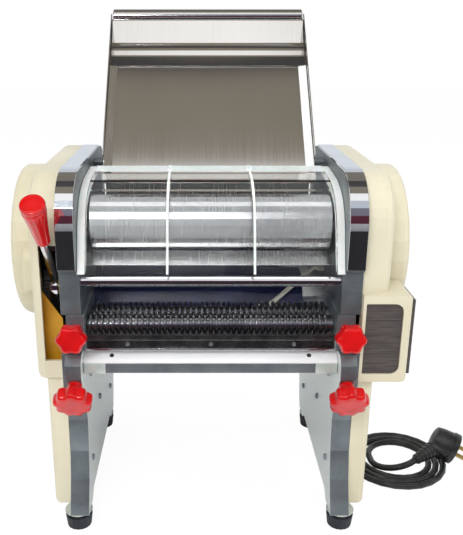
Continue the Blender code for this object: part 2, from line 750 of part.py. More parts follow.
def side_trim(name, side):
    outer = [(0.0, TRIM_FOOT_Z)]
    outer += circle_points(CROWN_RADIUS, FRAME_HEIGHT - CROWN_RADIUS, CROWN_RADIUS,
                           RIM_STEPS * 2, math.pi, -math.pi / 2, True)
    outer.append((TRIM_REAR, FRAME_HEIGHT))
    inner = [(TRIM_THICKNESS, TRIM_FOOT_Z)]
    inner += circle_points(CROWN_RADIUS, FRAME_HEIGHT - CROWN_RADIUS, CROWN_RADIUS - TRIM_THICKNESS,
                           RIM_STEPS * 2, math.pi, -math.pi / 2, True)
    inner.append((TRIM_REAR, FRAME_HEIGHT - TRIM_THICKNESS))
    mesh = prism_x(name, outer + list(reversed(inner)), side * (FRAME_OUTER - TRIM_WIDTH),
                   side * FRAME_OUTER)
    return finish_object(name, mesh, CHROME)


def foot(name, side, y):
    tip = FOOT_HEIGHT - FIT_GAP
    profile = [(0, 0), (0, FOOT_RADIUS - FOOT_TAPER), (FOOT_RUBBER, FOOT_RADIUS),
               (FOOT_RUBBER, FOOT_STEM_RADIUS), (tip, FOOT_STEM_RADIUS), (tip, 0)]
    mesh = turned_mesh(name, profile, ROUND)
    mesh.transform(aim((0, 0, 1), (side * FOOT_X, y, 0)))
    return finish_object(name, mesh, BLACK)


# Covers

def edge_sections(outline, x_start, x_end, edge, side):
    """Loft sections of a moulded shell part, with a rounded edge at its outer end."""
    sections = [(side * x_start, outline)]
    for step in range(EDGE_STEPS + 1):
        turn = math.pi / 2 * step / EDGE_STEPS
        sections.append((side * (x_end - edge * (1 - math.sin(turn))),
                         inset(outline, edge * (1 - math.cos(turn)))))
    return sections


def cover_upper_outline(wall):
    """Outline of the cover's upper part, moved inwards by a wall."""
    top = FRAME_HEIGHT - COVER_SETBACK - wall
    front = COVER_FRONT + wall
    rear = COVER_REAR - wall
    corner = REAR_RADIUS - wall
    crown = COVER_CROWN - wall
    points = [(front, COVER_LEG_TOP + wall), (rear, COVER_LEG_TOP + wall)]
    points += circle_points(rear - corner, top - corner, corner, RIM_STEPS, 0.0, math.pi / 2, True)
    points += circle_points(front + crown, top - crown, crown, RIM_STEPS + EDGE_STEPS,
                            math.pi / 2, math.pi / 2, True)
    return points


def cover_leg_outline(wall, top):
    """Outline of the cover's leg part with its arch between the feet."""
    front = COVER_FRONT + COVER_LEG_SETBACK + wall
    rear = COVER_REAR - COVER_LEG_SETBACK - wall
    low = COVER_FLOOR + wall
    arch = COVER_ARCH + wall
    run = arch - low
    front_leg = PAD_LENGTH + COVER_FRONT
    rear_leg = HEEL_Y - PAD_LENGTH - COVER_FRONT
    return [(front, top), (front, low), (front_leg - wall, low), (front_leg + run - wall, arch),
            (rear_leg - run + wall, arch), (rear_leg + wall, low), (rear, low), (rear, top)]


def cover(name, side, hole):
    over = CUT_OVERRUN
    shell = finish_object(name, loft_x(name, edge_sections(cover_upper_outline(0.0), COVER_INNER,
                                                           COVER_HALF, COVER_EDGE, side)), CREAM)
    leg = cover_leg_outline(0.0, COVER_LEG_TOP + COVER_EDGE * 2)
    cut(shell, loft_x("leg", edge_sections(leg, COVER_INNER, COVER_LEG_HALF, BULGE_EDGE, side)),
        "UNION")
    disc = circle_points(BULGE_Y, BULGE_Z, BULGE_RADIUS, WIDE_ROUND)
    cut(shell, loft_x("bulge", edge_sections(disc, COVER_LEG_HALF, BULGE_HALF, BULGE_EDGE, side)),
        "UNION")
    hole(shell, side)
    inner_edge = COVER_EDGE - COVER_WALL
    cut(shell, loft_x("upper hollow", edge_sections(cover_upper_outline(COVER_WALL),
                                                    COVER_INNER - over, COVER_HALF - COVER_WALL,
                                                    inner_edge, side)))
    leg = cover_leg_outline(COVER_WALL, COVER_LEG_TOP + COVER_EDGE * 3)
    cut(shell, loft_x("leg hollow", edge_sections(leg, COVER_INNER - over,
                                                  COVER_LEG_HALF - COVER_WALL, COVER_WALL, side)))
    disc = circle_points(BULGE_Y, BULGE_Z, BULGE_RADIUS - COVER_WALL, WIDE_ROUND)
    cut(shell, loft_x("bulge hollow", edge_sections(disc, COVER_LEG_HALF - inner_edge,
                                                    BULGE_HALF - COVER_WALL, COVER_WALL, side)))
    return shell


def scale_boss(shell, side):
    """The oval boss beside the lever's slot."""
    run = SCALE_BOSS_HEIGHT / 2 - SCALE_BOSS_RADIUS
    oval = circle_points(SCALE_BOSS_Y, SCALE_BOSS_Z + run, SCALE_BOSS_RADIUS, RIM_STEPS * 2,
                         0.0, math.pi, True)
    oval += circle_points(SCALE_BOSS_Y, SCALE_BOSS_Z - run, SCALE_BOSS_RADIUS, RIM_STEPS * 2,
                          math.pi, math.pi, True)
    cut(shell, loft_x("boss", edge_sections(oval, COVER_HALF - COVER_WALL / 2, SCALE_BOSS_HALF,
                                            COVER_WALL, side)), "UNION")


def left_cover():
    shell = cover("left_cover", LEFT, scale_boss)
    cut(shell, sided_box("lever slot", LEFT, COVER_INNER - CUT_OVERRUN,
                         COVER_INNER + LEVER_SLOT_WIDTH, COVER_FRONT - COVER_WALL,
                         COVER_FRONT + COVER_WALL * 3, LEVER_SLOT_LOW, LEVER_SLOT_HIGH))


def switch_box(shell, side):
    """The box for the switch, before the shell is hollowed, and its own hollow."""
    outline = [(BOX_FRONT, BOX_LOW), (BOX_REAR, BOX_LOW), (BOX_REAR, BOX_HIGH),
               (BOX_FRONT, BOX_HIGH)]
    cut(shell, loft_x("box", edge_sections(outline, COVER_INNER, BOX_HALF, BOX_EDGE, side)),
        "UNION")
    hollow = inset(outline, COVER_WALL)
    hollow = [(max(y, BOX_FRONT + COVER_WALL + WINDOW_DEPTH), z) for y, z in hollow]
    cut(shell, prism_x("box hollow", hollow, side * (COVER_INNER + COVER_WALL),
                       side * (BOX_HALF - COVER_WALL)))


def window_outline(shrink):
    """Window of the switch box in (x, z), with its outer corners rounded."""
    left = COVER_INNER + COVER_WALL + shrink
    right = WINDOW_OUTER - shrink
    low = BOX_LOW + WINDOW_BORDER + shrink
    high = BOX_HIGH - WINDOW_BORDER - shrink
    corner = WINDOW_CORNER - shrink
    points = [(left, high), (left, low)]
    points += circle_points(right - corner, low + corner, corner, RIM_STEPS, -math.pi / 2,
                            math.pi / 2, True)
    points += circle_points(right - corner, high - corner, corner, RIM_STEPS, 0.0,
                            math.pi / 2, True)
    return points


def prism_y(name, outline, y_from, y_to):
    rings = [[(x, y, z) for x, z in outline] for y in (y_from, y_to)]
    return mesh_from(name, loft_bmesh(rings))


def right_cover():
    shell = cover("right_cover", RIGHT, switch_box)
    cut(shell, prism_y("window", window_outline(0.0), BOX_FRONT - CUT_OVERRUN,
                       BOX_FRONT + WINDOW_DEPTH))
    cut(shell, box_mesh("rocker hole", (BOX_HALF - COVER_WALL * 2, ROCKER_Y - ROCKER_HOLE_HALF_Y,
                                        ROCKER_Z - ROCKER_HOLE_HALF_Z),
                        (BOX_HALF + CUT_OVERRUN, ROCKER_Y + ROCKER_HOLE_HALF_Y,
                         ROCKER_Z + ROCKER_HOLE_HALF_Z)))
    wall = COVER_REAR - COVER_LEG_SETBACK
    cut(shell, cylinder_between("gland hole", (GLAND_HALF, wall - COVER_WALL * 2, GLAND_Z),
                                (GLAND_HALF, wall + CUT_OVERRUN, GLAND_Z),
                                GLAND_RADIUS + FIT_GAP))


def switch_parts():
    finish_object("switch_window_plate", prism_y("plate", window_outline(FIT_GAP),
                  BOX_FRONT + PLATE_INSET, BOX_FRONT + WINDOW_DEPTH - FIT_GAP), GREY)
    x = BOX_HALF + FIT_GAP
    plate = finish_object("switch_side_plate", box_mesh("plate", (x, BOX_FRONT + SIDE_PLATE_BORDER,
                          BOX_LOW + SIDE_PLATE_BORDER), (x + SIDE_PLATE_THICKNESS, SIDE_PLATE_REAR,
                          BOX_HIGH - SIDE_PLATE_BORDER)), GREY)
    cut(plate, box_mesh("hole", (x - CUT_OVERRUN, ROCKER_Y - ROCKER_HOLE_HALF_Y,
                                 ROCKER_Z - ROCKER_HOLE_HALF_Z),
                        (x + SIDE_PLATE_THICKNESS + CUT_OVERRUN, ROCKER_Y + ROCKER_HOLE_HALF_Y,
                         ROCKER_Z + ROCKER_HOLE_HALF_Z)))
    front = x + SIDE_PLATE_THICKNESS + ROCKER_PROUD
    hinge = joint_empty("rocker_hinge", (ROCKER_AXIS_X, ROCKER_Y, ROCKER_Z))
    half = ROCKER_LENGTH / 2
    outline = [(front - ROCKER_DEPTH, -half), (front, -half), (front - ROCKER_PROUD / 2, 0.0),
               (front, half), (front - ROCKER_DEPTH, half)]
    outline = [(px, ROCKER_Z + pz) for px, pz in outline]
    finish_object("rocker_switch", prism_y("rocker", outline, ROCKER_Y - ROCKER_WIDTH / 2,
                  ROCKER_Y + ROCKER_WIDTH / 2), RED, hinge)


ROCKER_Y = (BOX_FRONT + SIDE_PLATE_BORDER + SIDE_PLATE_REAR) / 2
ROCKER_Z = (BOX_LOW + BOX_HIGH) / 2
ROCKER_HOLE_HALF_Y = ROCKER_WIDTH / 2 + FIT_GAP
ROCKER_HOLE_HALF_Z = ROCKER_LENGTH / 2 + RUN_GAP
ROCKER_AXIS_X = BOX_HALF - COVER_WALL / 2


# Sheeting rollers with their bearings, gears and lever

def roller(name, y, z, left_end, right_end, parent):
    flat = ROLLER_RADIUS - ROLLER_EDGE
    profile = [(-left_end, 0), (-left_end, SHAFT_RADIUS), (-ROLLER_HALF, SHAFT_RADIUS),
               (-ROLLER_HALF, flat), (-ROLLER_HALF + ROLLER_EDGE, ROLLER_RADIUS),
               (ROLLER_HALF - ROLLER_EDGE, ROLLER_RADIUS), (ROLLER_HALF, flat),
               (ROLLER_HALF, SHAFT_RADIUS), (right_end, SHAFT_RADIUS), (right_end, 0)]
    return finish_object(name, moved(turned_mesh(name, profile, WIDE_ROUND), (0, y, z)), STEEL,
                         parent)


def bearing(name, side, y, z, radius, parent=None):
    inner = UPPER_INNER
    outer = FRAME_OUTER
    hole = SHAFT_RADIUS + FIT_GAP
    profile = [(side * inner, hole), (side * inner, radius), (side * outer, radius),
               (side * outer, hole)]
    return finish_object(name, moved(ring_mesh(name, profile, ROUND), (0, y, z)), BRASS, parent)


def gear(name, teeth, module, phase, y, z, x_inner, parent, hole, look=STEEL):
    mesh = prism_x(name, gear_outline(teeth, module, phase, y, z), -x_inner,
                   -(x_inner + GEAR_WIDTH))
    made = finish_object(name, mesh, look, parent)
    bore(made, y, z, hole, -x_inner + CUT_OVERRUN, -(x_inner + GEAR_WIDTH) - CUT_OVERRUN)
    return made


def eccentric_bush(name, side, parent):
    inner = UPPER_INNER
    rim = FRAME_OUTER + FIT_GAP
    outer = rim + BUSH_FLANGE
    flange = BUSH_RADIUS + BUSH_FLANGE
    profile = [(side * inner, 0), (side * inner, BUSH_RADIUS), (side * rim, BUSH_RADIUS),
               (side * rim, flange), (side * outer, flange), (side * outer, 0)]
    mesh = moved(turned_mesh(name, profile, WIDE_ROUND), (0, BUSH_Y, BUSH_Z))
    bush = finish_object(name, mesh, BRASS, parent)
    if side == LEFT:
        cut(bush, prism_x("sector", sector_outline(SECTOR_TEETH, SECTOR_MODULE, BUSH_PHASE,
                                                   BUSH_MIDDLE, BUSH_RADIUS, BUSH_Y, BUSH_Z),
                          -SECTOR_LAYER, -(SECTOR_LAYER + SECTOR_THICKNESS)), "UNION")
    bore(bush, FRONT_ROLLER_Y, FRONT_ROLLER_Z, BUSH_BORE, side * (inner - CUT_OVERRUN),
         side * (SECTOR_LAYER + SECTOR_THICKNESS + CUT_OVERRUN), ROUND)
    return bush


def lever():
    hinge = joint_empty("lever_hinge", (-LEVER_HALF, LEVER_AXIS_Y, LEVER_AXIS_Z))
    arm = finish_object("lever_sector", prism_x("sector", sector_outline(
        SECTOR_TEETH, SECTOR_MODULE, LEVER_PHASE, LEVER_MIDDLE, SECTOR_HUB, LEVER_AXIS_Y, LEVER_AXIS_Z),
        -SECTOR_LAYER, -(SECTOR_LAYER + SECTOR_THICKNESS)), BRASS, hinge)
    bore(arm, LEVER_AXIS_Y, LEVER_AXIS_Z, STUD_RADIUS + FIT_GAP, -SECTOR_LAYER + CUT_OVERRUN,
         -(SECTOR_LAYER + SECTOR_THICKNESS) - CUT_OVERRUN)
    angle = math.radians(LEVER_ANGLE)
    along = Vector((0, -math.cos(angle), math.sin(angle)))
    axis = Vector((-LEVER_HALF, LEVER_AXIS_Y, LEVER_AXIS_Z))
    inner = SECTOR_LAYER + SECTOR_THICKNESS + FIT_GAP
    outer = LEVER_HALF + LEVER_ROD_RADIUS
    rod = finish_object("lever_arm", cylinder_between("rod", axis + along * (SECTOR_HUB + RUN_GAP),
                        axis + along * (LEVER_LENGTH - GRIP_WALL), LEVER_ROD_RADIUS - FIT_GAP),
                        CHROME, hinge)
    cut(rod, cylinder_between("hub", (-inner, axis.y, axis.z), (-outer, axis.y, axis.z),
                              LEVER_HUB_RADIUS), "UNION")
    bore(rod, axis.y, axis.z, STUD_RADIUS + FIT_GAP, -inner + CUT_OVERRUN, -outer - CUT_OVERRUN)
    grip_profile = [(LEVER_LENGTH - GRIP_LENGTH, 0)]
    for run, swell in GRIP_SHARES:
        grip_profile.append((LEVER_LENGTH - GRIP_LENGTH * (1 - run),
                             GRIP_FOOT_RADIUS + (GRIP_TOP_RADIUS - GRIP_FOOT_RADIUS) * swell))
    grip_profile.append((LEVER_LENGTH, 0))
    mesh = turned_mesh("lever_grip", grip_profile, ROUND)
    mesh.transform(aim(along, axis))
    grip = finish_object("lever_grip", mesh, RED, hinge)
    cut(grip, cylinder_between("rod hole", axis + along * (LEVER_LENGTH - GRIP_LENGTH - CUT_OVERRUN),
                               axis + along * (LEVER_LENGTH - GRIP_WALL + FIT_GAP),
                               LEVER_ROD_RADIUS))


GRIP_WALL = 0.006
# Run along the grip and swell of its radius, as shares.
GRIP_SHARES = ((0.0, -0.10), (0.03, 0.0), (0.45, 0.35), (0.80, 0.85), (0.92, 1.0), (0.98, 0.92),
               (1.0, 0.70))
PIVOT_LENGTH = 0.006
RECESS_TOP = REAR_ROLLER_Z - BEARING_RADIUS - FRAME_RIM

# The lever's sector and the bush's sector are equal, so they turn oppositely one to one.
BUSH_DIRECTION = direction_to(LEVER_AXIS_Y, LEVER_AXIS_Z, BUSH_Y, BUSH_Z)
LEVER_PHASE = BUSH_DIRECTION
LEVER_MIDDLE = BUSH_DIRECTION - math.radians(LEVER_TRAVEL / 2)
BUSH_PHASE = mesh_phase(LEVER_PHASE, SECTOR_TEETH, SECTOR_TEETH, BUSH_DIRECTION)
BUSH_MIDDLE = BUSH_DIRECTION + math.pi + math.radians(LEVER_TRAVEL / 2)

# The idler meshes the main gear and, with its small end, the rear cutter gear.
MAIN_RADIUS = MAIN_TEETH * MAIN_MODULE / 2
IDLER_RADIUS = IDLER_TEETH * MAIN_MODULE / 2
IDLER_INNER_RADIUS = IDLER_INNER_TEETH * MAIN_MODULE / 2
UPPER_REACH = MAIN_RADIUS + IDLER_RADIUS
LOWER_REACH = IDLER_INNER_RADIUS + CUTTER_SPACING / 2
TRAIN_SPAN = math.hypot(CUTTER_REAR_Y - REAR_ROLLER_Y, CUTTER_Z - REAR_ROLLER_Z)
TRAIN_RUN = (UPPER_REACH ** 2 - LOWER_REACH ** 2 + TRAIN_SPAN ** 2) / (2 * TRAIN_SPAN)
TRAIN_SIDE = math.sqrt(UPPER_REACH ** 2 - TRAIN_RUN ** 2)
TRAIN_Y = (CUTTER_REAR_Y - REAR_ROLLER_Y) / TRAIN_SPAN
TRAIN_Z = (CUTTER_Z - REAR_ROLLER_Z) / TRAIN_SPAN
IDLER_Y = REAR_ROLLER_Y + TRAIN_Y * TRAIN_RUN - TRAIN_Z * TRAIN_SIDE
IDLER_Z = REAR_ROLLER_Z + TRAIN_Z * TRAIN_RUN + TRAIN_Y * TRAIN_SIDE
MAIN_PHASE = 0.0
IDLER_PHASE = mesh_phase(MAIN_PHASE, MAIN_TEETH, IDLER_TEETH,
                         direction_to(REAR_ROLLER_Y, REAR_ROLLER_Z, IDLER_Y, IDLER_Z))
CUTTER_DIRECTION = direction_to(IDLER_Y, IDLER_Z, CUTTER_REAR_Y, CUTTER_Z)
CUTTER_REAR_PHASE = mesh_phase(CUTTER_DIRECTION, IDLER_INNER_TEETH, CUTTER_TEETH,
                               CUTTER_DIRECTION)
CUTTER_FRONT_PHASE = mesh_phase(CUTTER_REAR_PHASE, CUTTER_TEETH, CUTTER_TEETH, math.pi)
REAR_GEAR_PHASE = 0.0
FRONT_GEAR_PHASE = mesh_phase(REAR_GEAR_PHASE, ROLLER_TEETH, ROLLER_TEETH,
                              direction_to(REAR_ROLLER_Y, REAR_ROLLER_Z, FRONT_ROLLER_Y,
                                           FRONT_ROLLER_Z))


def sheeting_rollers():
    rear = joint_empty("rear_roller_axis", (0, REAR_ROLLER_Y, REAR_ROLLER_Z))
    carrier = joint_empty("front_carrier", (0, FRONT_ROLLER_Y, FRONT_ROLLER_Z))
    front = joint_empty("front_roller_axis", (0, FRONT_ROLLER_Y, FRONT_ROLLER_Z))
    bushes = joint_empty("bush_axis", (0, BUSH_Y, BUSH_Z))
    pulley_end = PULLEY_LAYER + PULLEY_WIDTH + FLYWHEEL_WIDTH
    roller("rear_roller", REAR_ROLLER_Y, REAR_ROLLER_Z, MAIN_LAYER + GEAR_WIDTH, pulley_end, rear)
    roller("front_roller", FRONT_ROLLER_Y, FRONT_ROLLER_Z, ROLLER_GEAR_LAYER + GEAR_WIDTH,
           FRAME_OUTER + BUSH_FLANGE, front)
    for word, side in (("left", LEFT), ("right", RIGHT)):
        bearing("front_" + word + "_bearing", side, FRONT_ROLLER_Y, FRONT_ROLLER_Z,
                FRONT_BEARING_RADIUS, carrier)
        bearing("rear_" + word + "_bearing", side, REAR_ROLLER_Y, REAR_ROLLER_Z,
                BEARING_RADIUS - FIT_GAP)
        eccentric_bush(word + "_eccentric_bush", side, bushes)
    hole = SHAFT_RADIUS + FIT_GAP
    gear("front_roller_gear", ROLLER_TEETH, ROLLER_MODULE, FRONT_GEAR_PHASE, FRONT_ROLLER_Y,
         FRONT_ROLLER_Z, ROLLER_GEAR_LAYER, front, hole)
    gear("rear_roller_gear", ROLLER_TEETH, ROLLER_MODULE, REAR_GEAR_PHASE, REAR_ROLLER_Y,
         REAR_ROLLER_Z, ROLLER_GEAR_LAYER, rear, hole)
    gear("main_gear", MAIN_TEETH, MAIN_MODULE, MAIN_PHASE, REAR_ROLLER_Y, REAR_ROLLER_Z,
         MAIN_LAYER, rear, hole)
    idler_axis = joint_empty("idler_axis", (0, IDLER_Y, IDLER_Z))
    idler = gear("idler_gear", IDLER_TEETH, MAIN_MODULE, IDLER_PHASE, IDLER_Y, IDLER_Z,
                 MAIN_LAYER, idler_axis, STUD_RADIUS + FIT_GAP)
    idler.modifiers.remove(idler.modifiers[0])
    small_end = CUTTER_GEAR_LAYER + GEAR_WIDTH
    cut(idler, prism_x("small end", gear_outline(IDLER_INNER_TEETH, MAIN_MODULE, CUTTER_DIRECTION,
                                                 IDLER_Y, IDLER_Z), -CUTTER_GEAR_LAYER,
                       -small_end), "UNION")
    cut(idler, cylinder_between("neck", (-(small_end - GEAR_WIDTH / 2), IDLER_Y, IDLER_Z),
                                (-(MAIN_LAYER + GEAR_WIDTH / 2), IDLER_Y, IDLER_Z), IDLER_NECK),
        "UNION")
    bore(idler, IDLER_Y, IDLER_Z, STUD_RADIUS + FIT_GAP, -CUTTER_GEAR_LAYER + CUT_OVERRUN,
         -(MAIN_LAYER + GEAR_WIDTH) - CUT_OVERRUN)
    drive_pulley("large_pulley", REAR_ROLLER_Y, REAR_ROLLER_Z, PULLEY_RADIUS, hole, rear,
                 FLYWHEEL_RADIUS)


# Belt drive and motor

def drive_pulley(name, y, z, radius, hole, parent, flywheel=0.0):
    groove = BELT_WIDTH + 2 * FIT_GAP
    lip = (PULLEY_WIDTH - groove) / 2
    x = PULLEY_LAYER
    low = radius - GROOVE_DEPTH
    profile = [(x, hole), (x, radius), (x + lip, radius), (x + lip, low), (x + lip + groove, low),
               (x + lip + groove, radius), (x + PULLEY_WIDTH, radius)]
    if flywheel:
        profile += [(x + PULLEY_WIDTH, flywheel), (x + PULLEY_WIDTH + FLYWHEEL_WIDTH, flywheel),
                    (x + PULLEY_WIDTH + FLYWHEEL_WIDTH, hole)]
    else:
        profile += [(x + PULLEY_WIDTH, hole)]
    mesh = moved(ring_mesh(name, profile, WIDE_ROUND if flywheel else ROUND), (0, y, z))
    return finish_object(name, mesh, DARK_STEEL, parent)


def drive_belt():
    """A closed band round both pulleys, four corner points at each place of its loop."""
    upper = PULLEY_RADIUS - GROOVE_DEPTH + FIT_GAP
    lower = MOTOR_PULLEY_RADIUS - GROOVE_DEPTH + FIT_GAP
    span = math.hypot(REAR_ROLLER_Y - MOTOR_Y, REAR_ROLLER_Z - MOTOR_Z)
    towards = direction_to(REAR_ROLLER_Y, REAR_ROLLER_Z, MOTOR_Y, MOTOR_Z)
    lean = math.acos((upper - lower) / span)
    x_low = PULLEY_LAYER + (PULLEY_WIDTH - BELT_WIDTH) / 2
    x_high = x_low + BELT_WIDTH
    rings = []
    arcs = ((REAR_ROLLER_Y, REAR_ROLLER_Z, upper, towards + lean, math.tau - 2 * lean, WIDE_ROUND),
            (MOTOR_Y, MOTOR_Z, lower, towards - lean, 2 * lean, ROUND))
    for cy, cz, radius, start, sweep, steps in arcs:
        # The band's flat facets would cut the pulley, so it stands off by the facet's rise.
        stand = radius / math.cos(math.pi / steps) + FIT_GAP
        for k in range(steps + 1):
            angle = start + sweep * k / steps
            ring = []
            for x, r in ((x_low, stand), (x_high, stand), (x_high, stand + BELT_HEIGHT),
                         (x_low, stand + BELT_HEIGHT)):
                ring.append((x, cy + r * math.cos(angle), cz + r * math.sin(angle)))
            rings.append(ring)
    finish_object("drive_belt", mesh_from("belt", loft_bmesh(rings, True)), BLACK)


def motor_parts():
    shield = MOTOR_LEFT + MOTOR_END_SHIELD
    cap = MOTOR_RADIUS - MOTOR_STEP
    profile = [(MOTOR_LEFT, 0), (MOTOR_LEFT, MOTOR_FLANGE_RADIUS),
               (MOTOR_LEFT + MOTOR_STEP * 2, MOTOR_FLANGE_RADIUS), (MOTOR_LEFT + MOTOR_STEP * 2, cap),
               (shield, cap), (shield, MOTOR_RADIUS), (MOTOR_RIGHT - MOTOR_END_SHIELD, MOTOR_RADIUS),
               (MOTOR_RIGHT - MOTOR_END_SHIELD, cap), (MOTOR_RIGHT, cap),
               (MOTOR_RIGHT, GEARBOX_RADIUS), (MOTOR_RIGHT + GEARBOX_LENGTH, GEARBOX_RADIUS),
               (MOTOR_RIGHT + GEARBOX_LENGTH, 0)]
    finish_object("motor", moved(turned_mesh("motor", profile, WIDE_ROUND), (0, MOTOR_Y, MOTOR_Z)),
                  BLUE)
    axis = joint_empty("motor_axis", (0, MOTOR_Y, MOTOR_Z))
    finish_object("motor_shaft", cylinder_between(
        "shaft", (MOTOR_RIGHT + GEARBOX_LENGTH + FIT_GAP, MOTOR_Y, MOTOR_Z),
        (PULLEY_LAYER + PULLEY_WIDTH, MOTOR_Y, MOTOR_Z), MOTOR_SHAFT_RADIUS), STEEL, axis)
    drive_pulley("motor_pulley", MOTOR_Y, MOTOR_Z, MOTOR_PULLEY_RADIUS,
                 MOTOR_SHAFT_RADIUS + FIT_GAP, axis)
    start = Vector((MOTOR_RIGHT + FIT_GAP, CABLE_Y, CABLE_START_Z))
    end = Vector((LOWER_SEAT, CABLE_Y, CABLE_END_Z))
    level = Vector((CABLE_LEVEL_RUN, 0, 0))
    bends = [start, start + level / 2, start + level, end - level, end - level / 2, end]
    route = smooth_path(bends, CABLE_POINTS)
    tube("motor_cable", route, CABLE_RADIUS, PALE_CABLE)


CABLE_POINTS = 6
CABLE_LEVEL_RUN = 0.012


def tube(name, points, radius, look, sides=2):
    """A round cord along points, with closed ends."""
    curve = bpy.data.curves.new(name, "CURVE")
    curve.dimensions = "3D"
    curve.bevel_depth = radius
    curve.bevel_resolution = sides
    curve.use_fill_caps = True
    spline = curve.splines.new("POLY")
    spline.points.add(len(points) - 1)
    for slot, point in zip(spline.points, points):
        slot.co = (*point, 1.0)
    curve.materials.append(material(name + " " + look[0], *look[1:]))
    made = bpy.data.objects.new(name, curve)
    bpy.context.scene.collection.objects.link(made)
    attach(made)
    return made


# Noodle cutter unit

def cutter_roller(name, y, shift, left_end, parent):
    """A roller with raised cutting rings; the other roller's rings run between them."""
    width = CUTTER_PITCH * RING_WIDTH_SHARE
    profile = [(-left_end, 0), (-left_end, CUTTER_SHAFT_RADIUS), (-CUTTER_HALF, CUTTER_SHAFT_RADIUS),
               (-CUTTER_HALF, CUTTER_CORE)]
    first = -CUTTER_HALF + CUTTER_PITCH * shift
    for ring in range(RING_COUNT - 1):
        low = first + CUTTER_PITCH * ring
        profile += [(low, CUTTER_CORE), (low, CUTTER_RADIUS), (low + width, CUTTER_RADIUS),
                    (low + width, CUTTER_CORE)]
    profile += [(CUTTER_HALF, CUTTER_CORE), (CUTTER_HALF, CUTTER_SHAFT_RADIUS),
                (WEB_OUTER, CUTTER_SHAFT_RADIUS), (WEB_OUTER, 0)]
    mesh = moved(turned_mesh(name, profile, RING_ROUND), (0, y, CUTTER_Z))
    return finish_object(name, mesh, STEEL, parent)


RING_ROUND = 8
FRONT_SHIFT_SHARE = 0.30
REAR_SHIFT_SHARE = 0.80


def cutter_block(name, side, unit):
    low = SLOT_FLOOR + FIT_GAP
    high = SLOT_TOP - FIT_GAP
    outer = WEB_OUTER
    block = finish_object(name, sided_box(name, side, BLOCK_INNER, outer, BLOCK_FRONT,
                                          SLOT_DEPTH - FIT_GAP, low, high), ALUMINIUM, unit)
    cut(block, sided_box("ear", side, outer - CUT_OVERRUN, outer + BLOCK_EAR, BLOCK_FRONT,
                         BLOCK_FRONT + BLOCK_EAR, low, high), "UNION")
    for y in (CUTTER_Y, CUTTER_REAR_Y):
        bore(block, y, CUTTER_Z, CUTTER_SHAFT_RADIUS + FIT_GAP, side * (BLOCK_INNER - CUT_OVERRUN),
             side * (outer + CUT_OVERRUN))
    cut(block, cylinder_between("knob bore", (side * KNOB_X, BLOCK_FRONT - CUT_OVERRUN,
                                              UPPER_KNOB_Z),
                                (side * KNOB_X, BLOCK_FRONT + UPPER_STUD_LENGTH, UPPER_KNOB_Z),
                                KNOB_STUD_RADIUS + FIT_GAP))


def comb_bar(unit):
    """A toothed front bar on a web with a sill below it."""
    half = BLOCK_INNER - FIT_GAP
    rear = COMB_Y + COMB_DEPTH
    top = COMB_LOW + COMB_HEIGHT
    pitch = 2 * half / RING_COUNT
    outline = [(-half, COMB_LOW), (half, COMB_LOW), (half, top)]
    for tooth in range(RING_COUNT):
        right = half - pitch * tooth - pitch / 4
        outline += [(right, top), (right - pitch / 4, top + COMB_TOOTH),
                    (right - pitch / 2, top)]
    outline += [(-half, top)]
    bar = finish_object("comb_bar", prism_y("comb_bar", outline, COMB_Y, rear), DARK_STEEL, unit)
    low = SLOT_FLOOR + 2 * FIT_GAP
    sheet = SILL_SHEET
    web = [(BLOCK_FRONT, low), (BLOCK_FRONT + SILL_DEPTH, low),
           (BLOCK_FRONT + SILL_DEPTH, low + sheet), (rear, low + sheet),
           (rear, top - COMB_WEB), (rear - COMB_WEB, top - COMB_WEB),
           (rear - COMB_WEB, low + sheet), (BLOCK_FRONT, low + sheet)]
    cut(bar, prism_x("web", web, -(half - FIT_GAP), half - FIT_GAP), "UNION")


def knob(name, radius, lobes, thickness, hub_length, stud_length, seat, outward, parent=None):
    """A lobed knob on a hub and stud, standing on its seat along an outward direction."""
    count = lobes * KNOB_LOBE_POINTS
    edge = thickness * KNOB_ROUND_SHARE
    back = FIT_GAP + hub_length
    front = back + thickness
    rows = [(-stud_length, KNOB_STUD_RADIUS, 0.0), (FIT_GAP, KNOB_STUD_RADIUS, 0.0),
            (FIT_GAP, KNOB_HUB_RADIUS, 0.0), (back, KNOB_HUB_RADIUS, 0.0),
            (back, radius - edge, LOBE_SHARE), (back + edge, radius, LOBE_SHARE),
            (front - edge, radius, LOBE_SHARE), (front, radius * KNOB_FACE_SHARE, LOBE_SHARE)]
    rings = []
    for x, size, wave in rows:
        ring = []
        for k in range(count):
            angle = math.tau * k / count
            reach = size * (1 - wave + wave * math.cos(lobes * angle))
            ring.append((x, reach * math.cos(angle), reach * math.sin(angle)))
        rings.append(ring)
    mesh = mesh_from(name, loft_bmesh(rings))
    mesh.transform(aim(outward, seat))
    hinge = joint_empty(name + "_axis", seat, parent)
    return finish_object(name, mesh, RED, hinge)


KNOB_LOBE_POINTS = 4


